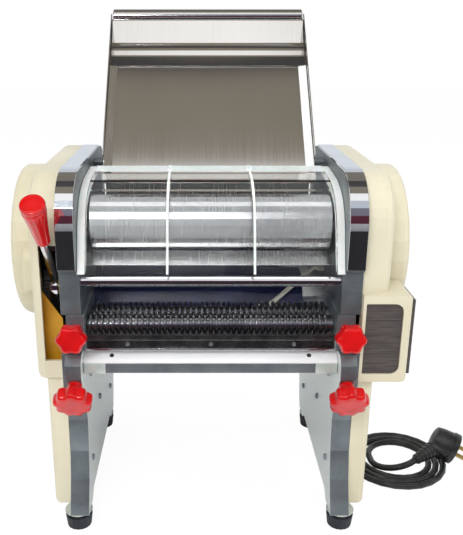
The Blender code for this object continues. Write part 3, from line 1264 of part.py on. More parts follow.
def cutter_unit():
    unit = joint_empty("cutter_unit", (0, CUTTER_Y, CUTTER_Z))
    gear_end = CUTTER_GEAR_LAYER + GEAR_WIDTH
    front = joint_empty("cutter_front_axis", (0, CUTTER_Y, CUTTER_Z), unit)
    rear = joint_empty("cutter_rear_axis", (0, CUTTER_REAR_Y, CUTTER_Z), unit)
    cutter_roller("cutter_front_roller", CUTTER_Y, FRONT_SHIFT_SHARE, gear_end, front)
    cutter_roller("cutter_rear_roller", CUTTER_REAR_Y, REAR_SHIFT_SHARE, gear_end, rear)
    hole = CUTTER_SHAFT_RADIUS + FIT_GAP
    gear("cutter_front_gear", CUTTER_TEETH, MAIN_MODULE, CUTTER_FRONT_PHASE, CUTTER_Y, CUTTER_Z,
         CUTTER_GEAR_LAYER, front, hole)
    gear("cutter_rear_gear", CUTTER_TEETH, MAIN_MODULE, CUTTER_REAR_PHASE, CUTTER_REAR_Y, CUTTER_Z,
         CUTTER_GEAR_LAYER, rear, hole)
    comb_bar(unit)
    hub = BLOCK_FRONT - FIT_GAP - (UPPER_KNOB_FRONT + UPPER_KNOB_THICKNESS)
    tilt = KNOB_TILT
    for word, side in (("left", LEFT), ("right", RIGHT)):
        cutter_block("cutter_" + word + "_block", side, unit)
        knob("upper_" + word + "_knob", UPPER_KNOB_RADIUS, UPPER_KNOB_LOBES, UPPER_KNOB_THICKNESS,
             hub, UPPER_STUD_LENGTH - FIT_GAP, (side * KNOB_X, BLOCK_FRONT, UPPER_KNOB_Z),
             (0, -1, 0), unit)
        knob("lower_" + word + "_knob", LOWER_KNOB_RADIUS, LOWER_KNOB_LOBES, LOWER_KNOB_THICKNESS,
             LOWER_HUB_LENGTH, LOWER_STUD_LENGTH, (side * KNOB_X, NOSE_SEAT_Y, NOSE_SEAT_Z),
             (0, -math.cos(tilt), -math.sin(tilt)))


# Tray, guard and the pieces across

def hopper_tray():
    slide = joint_empty("tray_slide", (0, TRAY_FOOT_Y, TRAY_FOOT_Z))
    step = FIT_GAP
    top_run = TRAY_LENGTH - TRAY_LIP_RADIUS

    def outline(rise):
        spots = [(0.0, 0.0), (TRAY_LENGTH, 0.0), (TRAY_LENGTH, TRAY_SHEET), (top_run, rise),
                 (TRAY_FOOT_LENGTH + step, rise), (TRAY_FOOT_LENGTH, TRAY_SHEET),
                 (0.0, TRAY_SHEET)]
        return [tray_point(run, height) for run, height in spots]

    high = outline(TRAY_FLANGE)
    low = outline(TRAY_SHEET)
    inner = TRAY_HALF - TRAY_SHEET
    sections = [(-TRAY_HALF, high), (-inner, high), (-inner + step, low), (inner - step, low),
                (inner, high), (TRAY_HALF, high)]
    tray = finish_object("hopper_tray", loft_x("tray", sections), STAINLESS, slide)
    y, z = tray_point(TRAY_LENGTH, TRAY_LIP_RADIUS / 2)
    half = TRAY_HALF - TRAY_SHEET - TRAY_LIP_STEP
    cut(tray, cylinder_between("lip", (-half, y, z), (half, y, z), TRAY_LIP_RADIUS), "UNION")


TRAY_LIP_STEP = 0.0008


def guard_path():
    start = (GUARD_FRONT_Y, GUARD_FOOT_Z)
    end = (GUARD_REAR_Y, GUARD_REAR_Z)
    route = [Vector((*point, 0)) for point in shares_between(GUARD_CURVE_SHARES, start, end)]
    return [(point.x, point.y) for point in smooth_path(route, GUARD_STEPS)]


GUARD_STEPS = 2


def guard():
    hinge = joint_empty("guard_hinge", (0, PIVOT_Y, PIVOT_Z))
    outer = guard_path()
    inner = list(reversed(offset_path(outer, GUARD_SHEET)))
    flat = outer + inner
    raised = offset_path(outer, -GUARD_RIB_HEIGHT) + inner
    sections = [(-GUARD_HALF, flat)]
    for side in (LEFT, RIGHT):
        middle = side * GUARD_RIB_X
        half = GUARD_RIB_WIDTH / 2
        sections += [(middle - half - FIT_GAP, flat), (middle - half, raised),
                     (middle + half, raised), (middle + half + FIT_GAP, flat)]
    sections.append((GUARD_HALF, flat))
    finish_object("roller_guard", loft_x("guard", sections), CLEAR, hinge)
    band = outer + list(reversed(offset_path(outer, CHEEK_BAND)))
    band = [(y, max(z, GUARD_FOOT_Z)) for y, z in band]
    for word, side in (("left", LEFT), ("right", RIGHT)):
        inner_x = GUARD_HALF + FIT_GAP
        outer_x = inner_x + CHEEK_WIDTH
        cheek = finish_object(word + "_guard_cheek", prism_x("cheek", band, side * inner_x,
                                                             side * outer_x), MILKY, hinge)
        cut(cheek, cylinder_between("pivot", (side * (outer_x - CUT_OVERRUN), PIVOT_Y, PIVOT_Z),
                                    (side * (UPPER_INNER + PIVOT_LENGTH), PIVOT_Y, PIVOT_Z),
                                    PIVOT_RADIUS), "UNION")


def sheet_between(name, front, rear, thickness, half, look):
    """A flat sheet across the machine from a front line up to a rear line."""
    path = [front, rear]
    upper = offset_path(path, -thickness)
    return finish_object(name, prism_x(name, path + list(reversed(upper)), -half, half), look)


def cross_pieces():
    seat = LOWER_SEAT
    finish_object("front_rail", cylinder_between("rail", (-seat, RAIL_Y, RAIL_Z),
                                                 (seat, RAIL_Y, RAIL_Z), RAIL_RADIUS), CHROME)
    finish_object("front_tie_bar", box_mesh("tie", (-seat, TIE_Y, TIE_Z),
                                            (seat, TIE_Y + TIE_DEPTH, TIE_Z + TIE_HEIGHT)), STEEL)
    finish_object("rear_tie_rod", cylinder_between("rod", (-seat, REAR_ROD_Y, REAR_ROD_Z),
                                                   (seat, REAR_ROD_Y, REAR_ROD_Z),
                                                   REAR_ROD_RADIUS), STEEL)
    finish_object("rear_panel", box_mesh("panel", (-seat, REAR_PANEL_Y, REAR_PANEL_LOW),
                                         (seat, REAR_PANEL_Y + REAR_PANEL_SHEET,
                                          REAR_PANEL_HIGH)), STAINLESS)
    sheet_between("noodle_slide", (TIE_Y, TIE_Z + TIE_HEIGHT + FIT_GAP),
                  (SLIDE_REAR_Y, SLIDE_REAR_Z), SLIDE_SHEET, seat, STAINLESS)
    sheet_between("front_scraper", (SCRAPER_FRONT_Y, SCRAPER_FRONT_Z),
                  (SCRAPER_REAR_Y, SCRAPER_REAR_Z), SCRAPER_SHEET, UPPER_SEAT, STAINLESS)


# Mains lead

def coil_points():
    """An inward spiral flat on the floor, with a straight bit at each end."""
    rise = CORD_DIAMETER / 2
    total = math.tau * COIL_TURNS
    steps = round(total / math.tau * COIL_LOOP_POINTS)
    found = []
    for k in range(steps + 1):
        turn = total * k / steps
        angle = math.radians(COIL_START) + turn
        late = max(0.0, 1 - (total - turn) / math.radians(COIL_TUCK_TURN))
        radius = COIL_OUTER - COIL_PITCH * turn / math.tau - COIL_TUCK * late ** 2
        found.append(Vector((COIL_X + radius * math.cos(angle), COIL_Y + radius * math.sin(angle),
                             rise)))
    head = found[0] + (found[0] - found[1]).normalized() * CORD_DIAMETER
    tail = found[-1] + (found[-1] - found[-2]).normalized() * STRAIGHT_END
    return [head] + found + [tail]


def least_gap(points):
    """Least room between parts of the coil that are not neighbours along it."""
    least = COIL_OUTER
    for k, point in enumerate(points):
        for other in points[k + COIL_LOOP_POINTS // 2:]:
            least = min(least, (point - other).length - CORD_DIAMETER)
    return least


def lead_points(first, last, along):
    """A half round down from the gland to the floor, then a gentle sway forward to the coil."""
    start = first + Vector((0, STRAIGHT_END, 0))
    end = last + along * STRAIGHT_END
    radius = (start.z - end.z) / 2
    found = [first]
    for k in range(LEAD_STEPS + 1):
        angle = math.pi * (1 / 2 - k / LEAD_STEPS)
        found.append(Vector((start.x, start.y + radius * math.cos(angle),
                             end.z + radius * (1 + math.sin(angle)))))
    for k in range(1, LEAD_STEPS + 1):
        share = k / LEAD_STEPS
        sway = share * share * (3 - 2 * share)
        found.append(Vector((start.x + (end.x - start.x) * sway,
                             start.y + (end.y - start.y) * share, end.z)))
    return found + [last]


def eased(start, end, leaving, arriving, t):
    """A value that runs from start to end with given slopes at both."""
    return (start * (2 * t ** 3 - 3 * t ** 2 + 1) + leaving * (t ** 3 - 2 * t ** 2 + t)
            + end * (3 * t ** 2 - 2 * t ** 3) + arriving * (t ** 3 - t ** 2))


def tail_points(first, onward):
    """The coil's last part turn, which winds in a little and rises to the strain relief."""
    begin = first + onward * STRAIGHT_END
    middle = Vector((COIL_X, COIL_Y, begin.z))
    arm = begin - middle
    out = arm.normalized()
    around = Vector((-out.y, out.x, 0))
    first_angle = math.atan2(arm.y, arm.x) % math.tau
    swing = math.radians(TAIL_LAST) - first_angle
    leaving = arm.length * onward.dot(out) / onward.dot(around)
    climb = TAIL_SLOPE * swing * (arm.length + TAIL_RADIUS) / 2
    found = [first]
    for k in range(TAIL_STEPS + 1):
        share = k / TAIL_STEPS
        angle = first_angle + swing * share
        radius = eased(arm.length, TAIL_RADIUS, leaving * swing, TAIL_DRAW * swing, share)
        height = eased(begin.z, TAIL_TOP, 0, climb, share)
        found.append(Vector((COIL_X + radius * math.cos(angle), COIL_Y + radius * math.sin(angle),
                             height)))
    entry = (found[-1] - found[-2]).normalized()
    return found + [found[-1] + entry * STRAIGHT_END]


def mains_lead():
    wall = COVER_REAR - COVER_LEG_SETBACK
    inner = wall - COVER_WALL * 2
    x = GLAND_HALF
    profile = [(0, 0), (0, GLAND_RADIUS), (wall + FIT_GAP - inner, GLAND_RADIUS),
               (wall + FIT_GAP - inner, GLAND_FLANGE),
               (wall + COVER_WALL - inner, GLAND_FLANGE),
               (wall + GLAND_LENGTH - inner, GLAND_TIP), (wall + GLAND_LENGTH - inner, 0)]
    gland = turned_mesh("cord_gland", profile, ROUND)
    gland.transform(aim((0, 1, 0), (x, inner, GLAND_Z)))
    finish_object("cord_gland", gland, BLACK)
    coil = coil_points()
    print("least gap of the coil to itself, m:", round(least_gap(coil), 5))
    tube("cord_coil", coil, CORD_DIAMETER / 2, BLACK, 1)
    start = Vector((x, wall + GLAND_LENGTH + FIT_GAP, GLAND_Z))
    along = (coil[0] - coil[1]).normalized()
    end = coil[0] + along * FIT_GAP
    lead = lead_points(start, end, along)
    tube("cord_lead", lead, CORD_DIAMETER / 2, BLACK)
    face = Vector(PLUG_FACE).normalized()
    onward = (coil[-1] - coil[-2]).normalized()
    tail = tail_points(coil[-1] + onward * FIT_GAP, onward)
    tube("cord_tail", tail, CORD_DIAMETER / 2, BLACK)
    entry = (tail[-1] - tail[-2]).normalized()
    tip = tail[-1] + entry * FIT_GAP
    centre = tip + entry * (RELIEF_LENGTH + PLUG_RADIUS * PLUG_BACK_SHARE)
    print("plug centre and entry direction:", tuple(round(v, 5) for v in (*centre, *entry)))
    plug_profile = [(-PLUG_LENGTH / 2, 0)]
    for run, size in PLUG_SHARES:
        plug_profile.append((PLUG_LENGTH * (run - 1 / 2), PLUG_RADIUS * size))
    plug_profile.append((PLUG_LENGTH / 2, 0))
    body = turned_mesh("plug", plug_profile, ROUND)
    body.transform(aim(face, centre))
    plug = finish_object("plug", body, BLACK)
    ribs = [(0, 0)]
    for rib in range(RELIEF_RIBS):
        for part, extra in RIB_SHARES:
            run = (rib + part) / RELIEF_RIBS
            size = RELIEF_TIP_RADIUS + (RELIEF_FOOT_RADIUS - RELIEF_TIP_RADIUS) * run
            ribs.append((RELIEF_LENGTH * run, size + RELIEF_RIB_HEIGHT * extra))
    ribs.append((RELIEF_LENGTH + PLUG_RADIUS * PLUG_BACK_SHARE, RELIEF_FOOT_RADIUS))
    ribs.append((RELIEF_LENGTH + PLUG_RADIUS * PLUG_BACK_SHARE, 0))
    relief = turned_mesh("relief", ribs, ROUND // 2)
    relief.transform(aim(entry, tip))
    cut(plug, relief, "UNION")
    across = face.cross(Vector((0, 0, 1))).normalized()
    for side in (LEFT, RIGHT):
        foot_point = centre + across * side * PIN_SPACING / 2
        cut(plug, cylinder_between("pin", foot_point, foot_point
                                   + face * (PLUG_LENGTH / 2 + PIN_LENGTH), PIN_RADIUS,
                                   ROUND // 2), "UNION")


LEAD_STEPS = 12
TAIL_STEPS = 14
TAIL_LAST = 296.7           # degrees, where the tail ends round the coil
TAIL_RADIUS = 0.0290
TAIL_DRAW = -0.0026         # inward run for each radian at the tail's end
TAIL_TOP = 0.0170
TAIL_SLOPE = 0.2545
STRAIGHT_END = 0.0015
PLUG_FACE = (0.85, -0.30, -0.35)
# Run along the plug from its back to its face, and its radius, as shares.
PLUG_SHARES = ((0.0, 0.72), (0.10, 0.84), (0.55, 0.90), (0.80, 0.95), (0.82, 1.0), (1.0, 1.0))
RIB_SHARES = ((0.0, 0.0), (0.20, 1.0), (0.62, 1.0), (0.80, 0.0))
CORD_NODES = ("cord_lead", "cord_coil", "cord_tail", "plug")


def settle_on_origin():
    """Moves the assembly so that its box, without the free cord, stands on the origin."""
    bpy.context.view_layer.update()
    seen = bpy.context.evaluated_depsgraph_get()
    low = Vector((BULGE_HALF * 2,) * 3)
    high = -low
    for item in bpy.data.objects:
        if item.type != "MESH" or item.hide_render or item.name in CORD_NODES:
            continue
        ready = item.evaluated_get(seen)
        for vert in ready.data.vertices:
            spot = ready.matrix_world @ vert.co
            low = Vector(map(min, low, spot))
            high = Vector(map(max, high, spot))
    root.location = (-(low.x + high.x) / 2, -(low.y + high.y) / 2, -low.z)
    print("layout moved by, m:", tuple(round(value, 6) for value in root.location))


def assemble():
    for word, side in (("left", LEFT), ("right", RIGHT)):
        side_frame(word + "_side_frame", side)
        side_trim(word + "_trim", side)
        foot("front_" + word + "_foot", side, FOOT_FRONT_Y)
        foot("rear_" + word + "_foot", side, FOOT_REAR_Y)
    left_cover()
    right_cover()
    switch_parts()
    sheeting_rollers()
    lever()
    drive_belt()
    motor_parts()
    cutter_unit()
    hopper_tray()
    guard()
    cross_pieces()
    mains_lead()
    settle_on_origin()


clear_scene()
root = bpy.data.objects.new("dough_sheeter_root", None)
bpy.context.scene.collection.objects.link(root)
assemble()
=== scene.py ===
# %% [markdown]
# # A tabletop dough sheeter
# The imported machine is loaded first, with every solid in its measured place. The cells then dress
# it: the light and the camera, the mains lead, the finishes, and the pieces that need more form
# than the measured solids have, such as the cutter rings, the knobs and the hopper tray.

# %% Load the machine
import math

import bpy
from mathutils import Matrix, Vector


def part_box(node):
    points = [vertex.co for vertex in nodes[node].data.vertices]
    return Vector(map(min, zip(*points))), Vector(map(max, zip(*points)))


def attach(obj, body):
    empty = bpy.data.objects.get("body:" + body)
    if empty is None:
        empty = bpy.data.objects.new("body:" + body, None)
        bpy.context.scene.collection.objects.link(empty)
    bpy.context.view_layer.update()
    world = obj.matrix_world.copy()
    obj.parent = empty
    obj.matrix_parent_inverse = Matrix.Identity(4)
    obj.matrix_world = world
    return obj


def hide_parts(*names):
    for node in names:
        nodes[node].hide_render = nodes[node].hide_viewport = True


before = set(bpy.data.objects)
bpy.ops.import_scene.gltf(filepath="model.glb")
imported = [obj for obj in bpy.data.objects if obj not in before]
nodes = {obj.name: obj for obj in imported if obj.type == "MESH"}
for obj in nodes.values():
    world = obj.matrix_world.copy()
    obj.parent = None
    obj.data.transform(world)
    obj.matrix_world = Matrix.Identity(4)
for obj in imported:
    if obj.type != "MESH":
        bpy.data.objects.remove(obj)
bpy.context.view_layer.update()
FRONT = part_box("left_trim")[0].y
print("loaded", len(nodes), "solids, trim front at y =", round(FRONT, 4))


def place(x, y, z):
    """A place given from the machine's middle plane, its trim front and the floor."""
    return Vector((x, FRONT + y, z))


# %% [markdown]
# ## Camera
# The machine is seen from straight in front and a little above. A slightly long lens keeps its sides
# nearly parallel, and a small sideways shift puts it left of the middle of the frame.

# %% Camera
FOCAL_LENGTH = 55.69
SIDE_SHIFT = 0.0782
CAMERA_PLACE = (-0.01427, -0.6071, 0.4724)
CAMERA_TILT = math.radians(71.88)
lens = bpy.data.cameras.new("front view")
lens.sensor_width = 36.0
lens.sensor_fit = "HORIZONTAL"
lens.lens = FOCAL_LENGTH
lens.shift_x = SIDE_SHIFT
camera = bpy.data.objects.new("front view", lens)
camera.location = place(*CAMERA_PLACE)
camera.rotation_euler = (CAMERA_TILT, 0, 0)
bpy.context.scene.collection.objects.link(camera)
bpy.context.scene.camera = camera
bpy.context.scene.view_settings.view_transform = "Standard"
print("camera at", tuple(round(v, 3) for v in camera.location))

# %% [markdown]
# ## Node helpers
# Light, floor and finishes are all made of shader nodes. A node could be added, set and linked
# line by line, but most need the same few steps, so short helpers do them: an input is given as
# a number or colour, or as the socket that feeds it.

# %% Node helpers


def new_node(tree, kind, inputs=None, **settings):
    """A node with its settings, and inputs that are set to a value or linked to a socket."""
    node = tree.nodes.new("ShaderNode" + kind)
    for word, value in settings.items():
        setattr(node, word, value)
    for word, value in (inputs or {}).items():
        if isinstance(value, bpy.types.NodeSocket):
            tree.links.new(value, node.inputs[word])
        else:
            node.inputs[word].default_value = value
    return node


def computed(tree, operation, *sides):
    """The result of a Math node, whose sides are numbers or sockets."""
    return new_node(tree, "Math", dict(enumerate(sides)), operation=operation).outputs[0]


def remapped(tree, source, low=0.0, high=1.0, to_low=0.0, to_high=1.0):
    """Stretches a value so that low becomes to_low and high becomes to_high."""
    return new_node(tree, "MapRange", {"Value": source, "From Min": low, "From Max": high,
                                       "To Min": to_low, "To Max": to_high}).outputs[0]


def blend_colour(tree, mask, first, second):
    """Mixes two colours, or a socket and a colour, by a mask."""
    sides = [(*side, 1.0) if isinstance(side, tuple) else side for side in (first, second)]
    return new_node(tree, "Mix", {"Factor": mask, "A": sides[0], "B": sides[1]},
                    data_type="RGBA").outputs["Result"]


def camera_or_through(tree, rays):
    """1 for rays that come from the camera or went through clear plastic."""
    return computed(tree, "MAXIMUM", rays.outputs["Is Camera Ray"],
                    rays.outputs["Is Transmission Ray"])


def new_material(name):
    """A material with its node tree and its Principled shader."""
    made = bpy.data.materials.new(name)
    made.use_nodes = True
    return made, made.node_tree, made.node_tree.nodes["Principled BSDF"]


def mixed_surface(tree, share, first, second):
    """Sends a mix of two shaders to the material's surface."""
    mixer = new_node(tree, "MixShader", {0: share, 1: first.outputs[0], 2: second.outputs[0]})
    tree.links.new(mixer.outputs[0], tree.nodes["Material Output"].inputs["Surface"])


print("node helpers ready")

# %% [markdown]
# ## Floor and studio
# Polished steel has no colour of its own: it shows the room. So the sky is made of long bands
# like soft strip lamps and dark drapes that run across the machine, and only gloss sees them.
# Plain surfaces see an even pale grey, and the camera sees white paper. A dark cloth lies in
# front of the machine, also for gloss alone, so that low reflections aren't all white floor.

# %% Sky with bands
BANDS = ((0.000, (0.80, 0.84, 0.88)), (0.200, (0.45, 0.45, 0.47)), (0.330, (0.12, 0.12, 0.13)),
         (0.440, (0.016, 0.016, 0.020)), (0.500, (0.020, 0.012, 0.016)),
         (0.536, (0.115, 0.030, 0.048)), (0.572, (0.16, 0.13, 0.17)), (0.590, (0.34, 0.39, 0.46)),
         (0.626, (0.58, 0.63, 0.70)), (0.640, (1.15, 1.15, 1.15)), (0.674, (1.10, 1.10, 1.08)),
         (0.686, (0.25, 0.225, 0.185)), (0.752, (0.25, 0.225, 0.185)),
         (0.764, (0.045, 0.045, 0.05)), (0.792, (0.045, 0.045, 0.05)),
         (0.806, (0.22, 0.20, 0.165)), (0.860, (0.22, 0.20, 0.165)), (0.890, (0.62, 0.66, 0.72)),
         (1.000, (0.80, 0.84, 0.88)))
PLAIN_LIGHT = (0.46, 0.47, 0.485)
WHITE_PAPER = (1.0, 1.0, 1.0)
world = bpy.data.worlds.new("studio")
bpy.context.scene.world = world
world.use_nodes = True
sky = world.node_tree
where = new_node(sky, "TexCoord")
axes = new_node(sky, "SeparateXYZ", {0: where.outputs["Generated"]})
forward = computed(sky, "MULTIPLY", axes.outputs["Y"], -1.0)
height_angle = computed(sky, "ARCTAN2", axes.outputs["Z"], forward)
ramp = new_node(sky, "ValToRGB", {0: remapped(sky, height_angle, -math.pi, math.pi)})
stops = ramp.color_ramp.elements
while len(stops) < len(BANDS):
    stops.new(0.5)
for stop, band in zip(stops, BANDS):
    stop.position = band[0]
for stop, band in zip(stops, BANDS):
    stop.color = (*band[1], 1.0)
rays = new_node(sky, "LightPath")
room = blend_colour(sky, rays.outputs["Is Glossy Ray"], PLAIN_LIGHT, ramp.outputs[0])
shown = blend_colour(sky, camera_or_through(sky, rays), room, WHITE_PAPER)
sky.links.new(shown, sky.nodes["Background"].inputs["Color"])
print("sky with", len(BANDS), "bands")

# %% Lamps
LAMP_TARGET = Vector((0, 0, 0.2))


def softbox(name, place_at, width, height, power):
    """A wide lamp without a hard edge, aimed at the machine."""
    lamp = bpy.data.lights.new(name, "AREA")
    lamp.shape = "RECTANGLE"
    lamp.size = width
    lamp.size_y = height
    lamp.energy = power
    held = bpy.data.objects.new(name, lamp)
    held.location = place_at
    held.rotation_euler = (LAMP_TARGET - Vector(place_at)).to_track_quat("-Z", "Y").to_euler()
    held.visible_glossy = False
    held.visible_camera = False
    bpy.context.scene.collection.objects.link(held)
    return held


softbox("front softbox", (-0.5, -1.7, 1.5), width=1.4, height=1.0, power=20.0)
softbox("right softbox", (1.7, -0.8, 1.0), width=1.0, height=1.2, power=9.0)
softbox("top softbox", (0, 0.1, 1.9), width=1.6, height=1.2, power=11.0)
spark = softbox("highlight lamp", (-0.35, -1.3, 1.25), width=0.26, height=0.14, power=2.6)
spark.visible_glossy = True
print("three softboxes and a small lamp for the highlights")

# %% Floor and front drape


def flat_card(name, low, high, height):
    """A plain level card between two corners."""
    bpy.ops.object.select_all(action="DESELECT")
    bpy.ops.mesh.primitive_plane_add(size=1, location=((low[0] + high[0]) / 2,
                                                       (low[1] + high[1]) / 2, height))
    card = bpy.context.object
    card.scale = (high[0] - low[0], high[1] - low[1], 1)
    bpy.ops.object.transform_apply(location=True, rotation=True, scale=True)
    card.name = name
    return card


FLOOR_GLOW = 1.05
FLOOR_GLOW_SHARE = 0.90
floor = flat_card("floor", (-6, -6), (6, 6), 0)
paper_floor, tree, shader = new_material("paper floor")
shader.inputs["Base Color"].default_value = (0.93, 0.93, 0.93, 1)
shader.inputs["Roughness"].default_value = 0.9
shader.inputs["Specular IOR Level"].default_value = 0.0
glow = new_node(tree, "Emission", {"Color": (1, 1, 1, 1), "Strength": FLOOR_GLOW})
seen = camera_or_through(tree, new_node(tree, "LightPath"))
mixed_surface(tree, computed(tree, "MULTIPLY", seen, FLOOR_GLOW_SHARE), shader, glow)
floor.data.materials.append(paper_floor)

drape = flat_card("front drape", (-2.5, -2.6), (2.5, -0.36), 0.002)
dark_cloth, tree, shader = new_material("dark cloth")
shader.inputs["Base Color"].default_value = (0.01, 0.01, 0.012, 1)
shader.inputs["Roughness"].default_value = 1.0
drape.data.materials.append(dark_cloth)
drape.visible_camera = False
drape.visible_diffuse = False
drape.visible_shadow = False
drape.visible_transmission = False
print("floor and drape laid")

# %% [markdown]
# ## Mains lead
# The lead leaves a rubber gland low at the back of the right cover, drops to the table, runs
# forward along the right side and lies in an open coil, whose end rises to the plug that rests
# on the turns. It is one smooth line with a round section, so that no joint shows.

# %% Lead
CORD_THICKNESS = 0.007
COIL_MIDDLE = (0.2175, 0.1140)
COIL_OUTER = 0.0565
COIL_PITCH = 0.0079
COIL_TURNS = 3
STEPS_PER_TURN = 24
LEAD_STEPS = 12
TAIL_STEPS = 14
COIL_TUCK = 0.0038
COIL_TUCK_TURN = 130.0
GAP = 0.0003
STRAIGHT_END = 0.0015
GLAND_TIP = Vector((0.1465, 0.2553, 0.062))
TAIL_LAST = 296.7
TAIL_RADIUS = 0.0290
TAIL_DRAW = -0.0026
TAIL_TOP = 0.0170
TAIL_SLOPE = 0.2545
RELIEF_LENGTH = 0.030
PLUG_RADIUS = 0.018
PLUG_BACK = 0.62


def coil_line():
    """The flat spiral on the floor, wound inwards, with a straight bit at both ends."""
    total = math.tau * COIL_TURNS
    steps = STEPS_PER_TURN * COIL_TURNS
    found = []
    for k in range(steps + 1):
        turned_by = total * k / steps
        angle = math.pi + turned_by
        late = max(0.0, 1 - (total - turned_by) / math.radians(COIL_TUCK_TURN))
        arm = COIL_OUTER - COIL_PITCH * turned_by / math.tau - COIL_TUCK * late ** 2
        found.append(Vector((COIL_MIDDLE[0] + arm * math.cos(angle),
                             COIL_MIDDLE[1] + arm * math.sin(angle), CORD_THICKNESS / 2)))
    head = found[0] + (found[0] - found[1]).normalized() * CORD_THICKNESS
    last = found[-1] + (found[-1] - found[-2]).normalized() * STRAIGHT_END
    return [head] + found + [last]


def lead_line(first, last, along):
    """Half round down from the gland to the floor, then forward to the coil."""
    start = first + Vector((0, STRAIGHT_END, 0))
    stop = last + along * STRAIGHT_END
    arm = (start.z - stop.z) / 2
    found = [first]
    for k in range(LEAD_STEPS + 1):
        angle = math.pi * (0.5 - k / LEAD_STEPS)
        found.append(Vector((start.x, start.y + arm * math.cos(angle),
                             stop.z + arm * (1 + math.sin(angle)))))
    for k in range(1, LEAD_STEPS + 1):
        done = k / LEAD_STEPS
        sway = done * done * (3 - 2 * done)
        found.append(Vector((start.x + (stop.x - start.x) * sway,
                             start.y + (stop.y - start.y) * done, stop.z)))
    return found + [last]


def eased(start, stop, leaving, arriving, t):
    """A value that runs from start to stop with given slopes at both."""
    return (start * (2 * t ** 3 - 3 * t ** 2 + 1) + leaving * (t ** 3 - 2 * t ** 2 + t)
            + stop * (3 * t ** 2 - 2 * t ** 3) + arriving * (t ** 3 - t ** 2))


def tail_line(first, onward):
    """The last part turn, which winds in a little and rises to the plug."""
    start = first + onward * STRAIGHT_END
    arm = start - Vector((COIL_MIDDLE[0], COIL_MIDDLE[1], start.z))
    out = arm.normalized()
    around = Vector((-out.y, out.x, 0))
    first_angle = math.atan2(arm.y, arm.x) % math.tau
    swing = math.radians(TAIL_LAST) - first_angle
    leaving = arm.length * onward.dot(out) / onward.dot(around)
    climb = TAIL_SLOPE * swing * (arm.length + TAIL_RADIUS) / 2
    found = [first]
    for k in range(TAIL_STEPS + 1):
        done = k / TAIL_STEPS
        angle = first_angle + swing * done
        size = eased(arm.length, TAIL_RADIUS, leaving * swing, TAIL_DRAW * swing, done)
        found.append(Vector((COIL_MIDDLE[0] + size * math.cos(angle),
                             COIL_MIDDLE[1] + size * math.sin(angle),
                             eased(start.z, TAIL_TOP, 0, climb, done))))
    return found + [found[-1] + (found[-1] - found[-2]).normalized() * STRAIGHT_END]


coil = coil_line()
along = (coil[0] - coil[1]).normalized()
onward = (coil[-1] - coil[-2]).normalized()
lead = lead_line(GLAND_TIP, coil[0] + along * GAP, along)
tail = tail_line(coil[-1] + onward * GAP, onward)
plug_entry = (tail[-1] - tail[-2]).normalized()
relief_tip = tail[-1] + plug_entry * GAP
plug_middle = relief_tip + plug_entry * (RELIEF_LENGTH + PLUG_RADIUS * PLUG_BACK)
line = lead[:-1] + coil[1:-1] + tail[1:]
line = [place(*point) for point in line]
curve = bpy.data.curves.new("mains_cord", "CURVE")
curve.dimensions = "3D"
curve.bevel_depth = 1.0
curve.bevel_resolution = 5
curve.use_fill_caps = True
spline = curve.splines.new("POLY")
spline.points.add(len(line) - 1)
for spline_point, point in zip(spline.points, line):
    spline_point.co = (*point, 1)
    spline_point.radius = CORD_THICKNESS / 2
spline.use_smooth = True
mains_cord = bpy.data.objects.new("mains_cord", curve)
bpy.context.scene.collection.objects.link(mains_cord)
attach(mains_cord, "frame")
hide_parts("cord_lead", "cord_coil", "cord_tail")

# %% [markdown]
# ## Shared effects
# Four small node groups give patterns that many finishes share. Each puts out a mask or a value:
# patches of uneven colour, fine grain stretched along one way, wear on the edges, and dust on
# what faces up. The finishes mix their own colours with them.

# %% Node groups
WORN_EDGE = 0.0012


def new_group(name, word, kind, value, output):
    """A node group with one named input and one named output."""
    group = bpy.data.node_groups.new(name, "ShaderNodeTree")
    socket = group.interface.new_socket(word, in_out="INPUT", socket_type=kind)
    socket.default_value = value
    group.interface.new_socket(output, in_out="OUTPUT", socket_type="NodeSocketFloat")
    return (group, group.nodes.new("NodeGroupInput").outputs[word],
            group.nodes.new("NodeGroupOutput").inputs[output])


def noise(group, scale, detail, where=None):
    """Noise between 0 and 1 over the object's own coordinates, or over a given place."""
    where = where or new_node(group, "TexCoord").outputs["Object"]
    return new_node(group, "TexNoise", {"Vector": where, "Scale": scale,
                                        "Detail": detail}).outputs["Fac"]


patches, scale, mask = new_group("patches", "Scale", "NodeSocketFloat", 20.0, "Mask")
patches.links.new(remapped(patches, noise(patches, scale, 3.0), 0.35, 0.65), mask)

grain, scale, mask = new_group("grain", "Scale", "NodeSocketVector", (400, 400, 400), "Grain")
where = new_node(grain, "TexCoord")
stretch = new_node(grain, "VectorMath", {0: where.outputs["Object"], 1: scale},
                   operation="MULTIPLY")
grain.links.new(remapped(grain, noise(grain, 1.0, 2.0, stretch.outputs[0]), 0.25, 0.75), mask)

edge_wear, amount, mask = new_group("edge wear", "Amount", "NodeSocketFloat", 0.5, "Mask")
rounded = new_node(edge_wear, "Bevel", {"Radius": WORN_EDGE}, samples=4)
shape = new_node(edge_wear, "NewGeometry")
compare = new_node(edge_wear, "VectorMath", {0: rounded.outputs[0], 1: shape.outputs["Normal"]},
                   operation="DOT_PRODUCT")
worn = remapped(edge_wear, compare.outputs["Value"], 0.985, 0.80)
chips = remapped(edge_wear, noise(edge_wear, 260.0, 2.0), 0.40, 0.62)
broken = computed(edge_wear, "MULTIPLY", worn, chips)
edge_wear.links.new(computed(edge_wear, "MULTIPLY", broken, amount), mask)

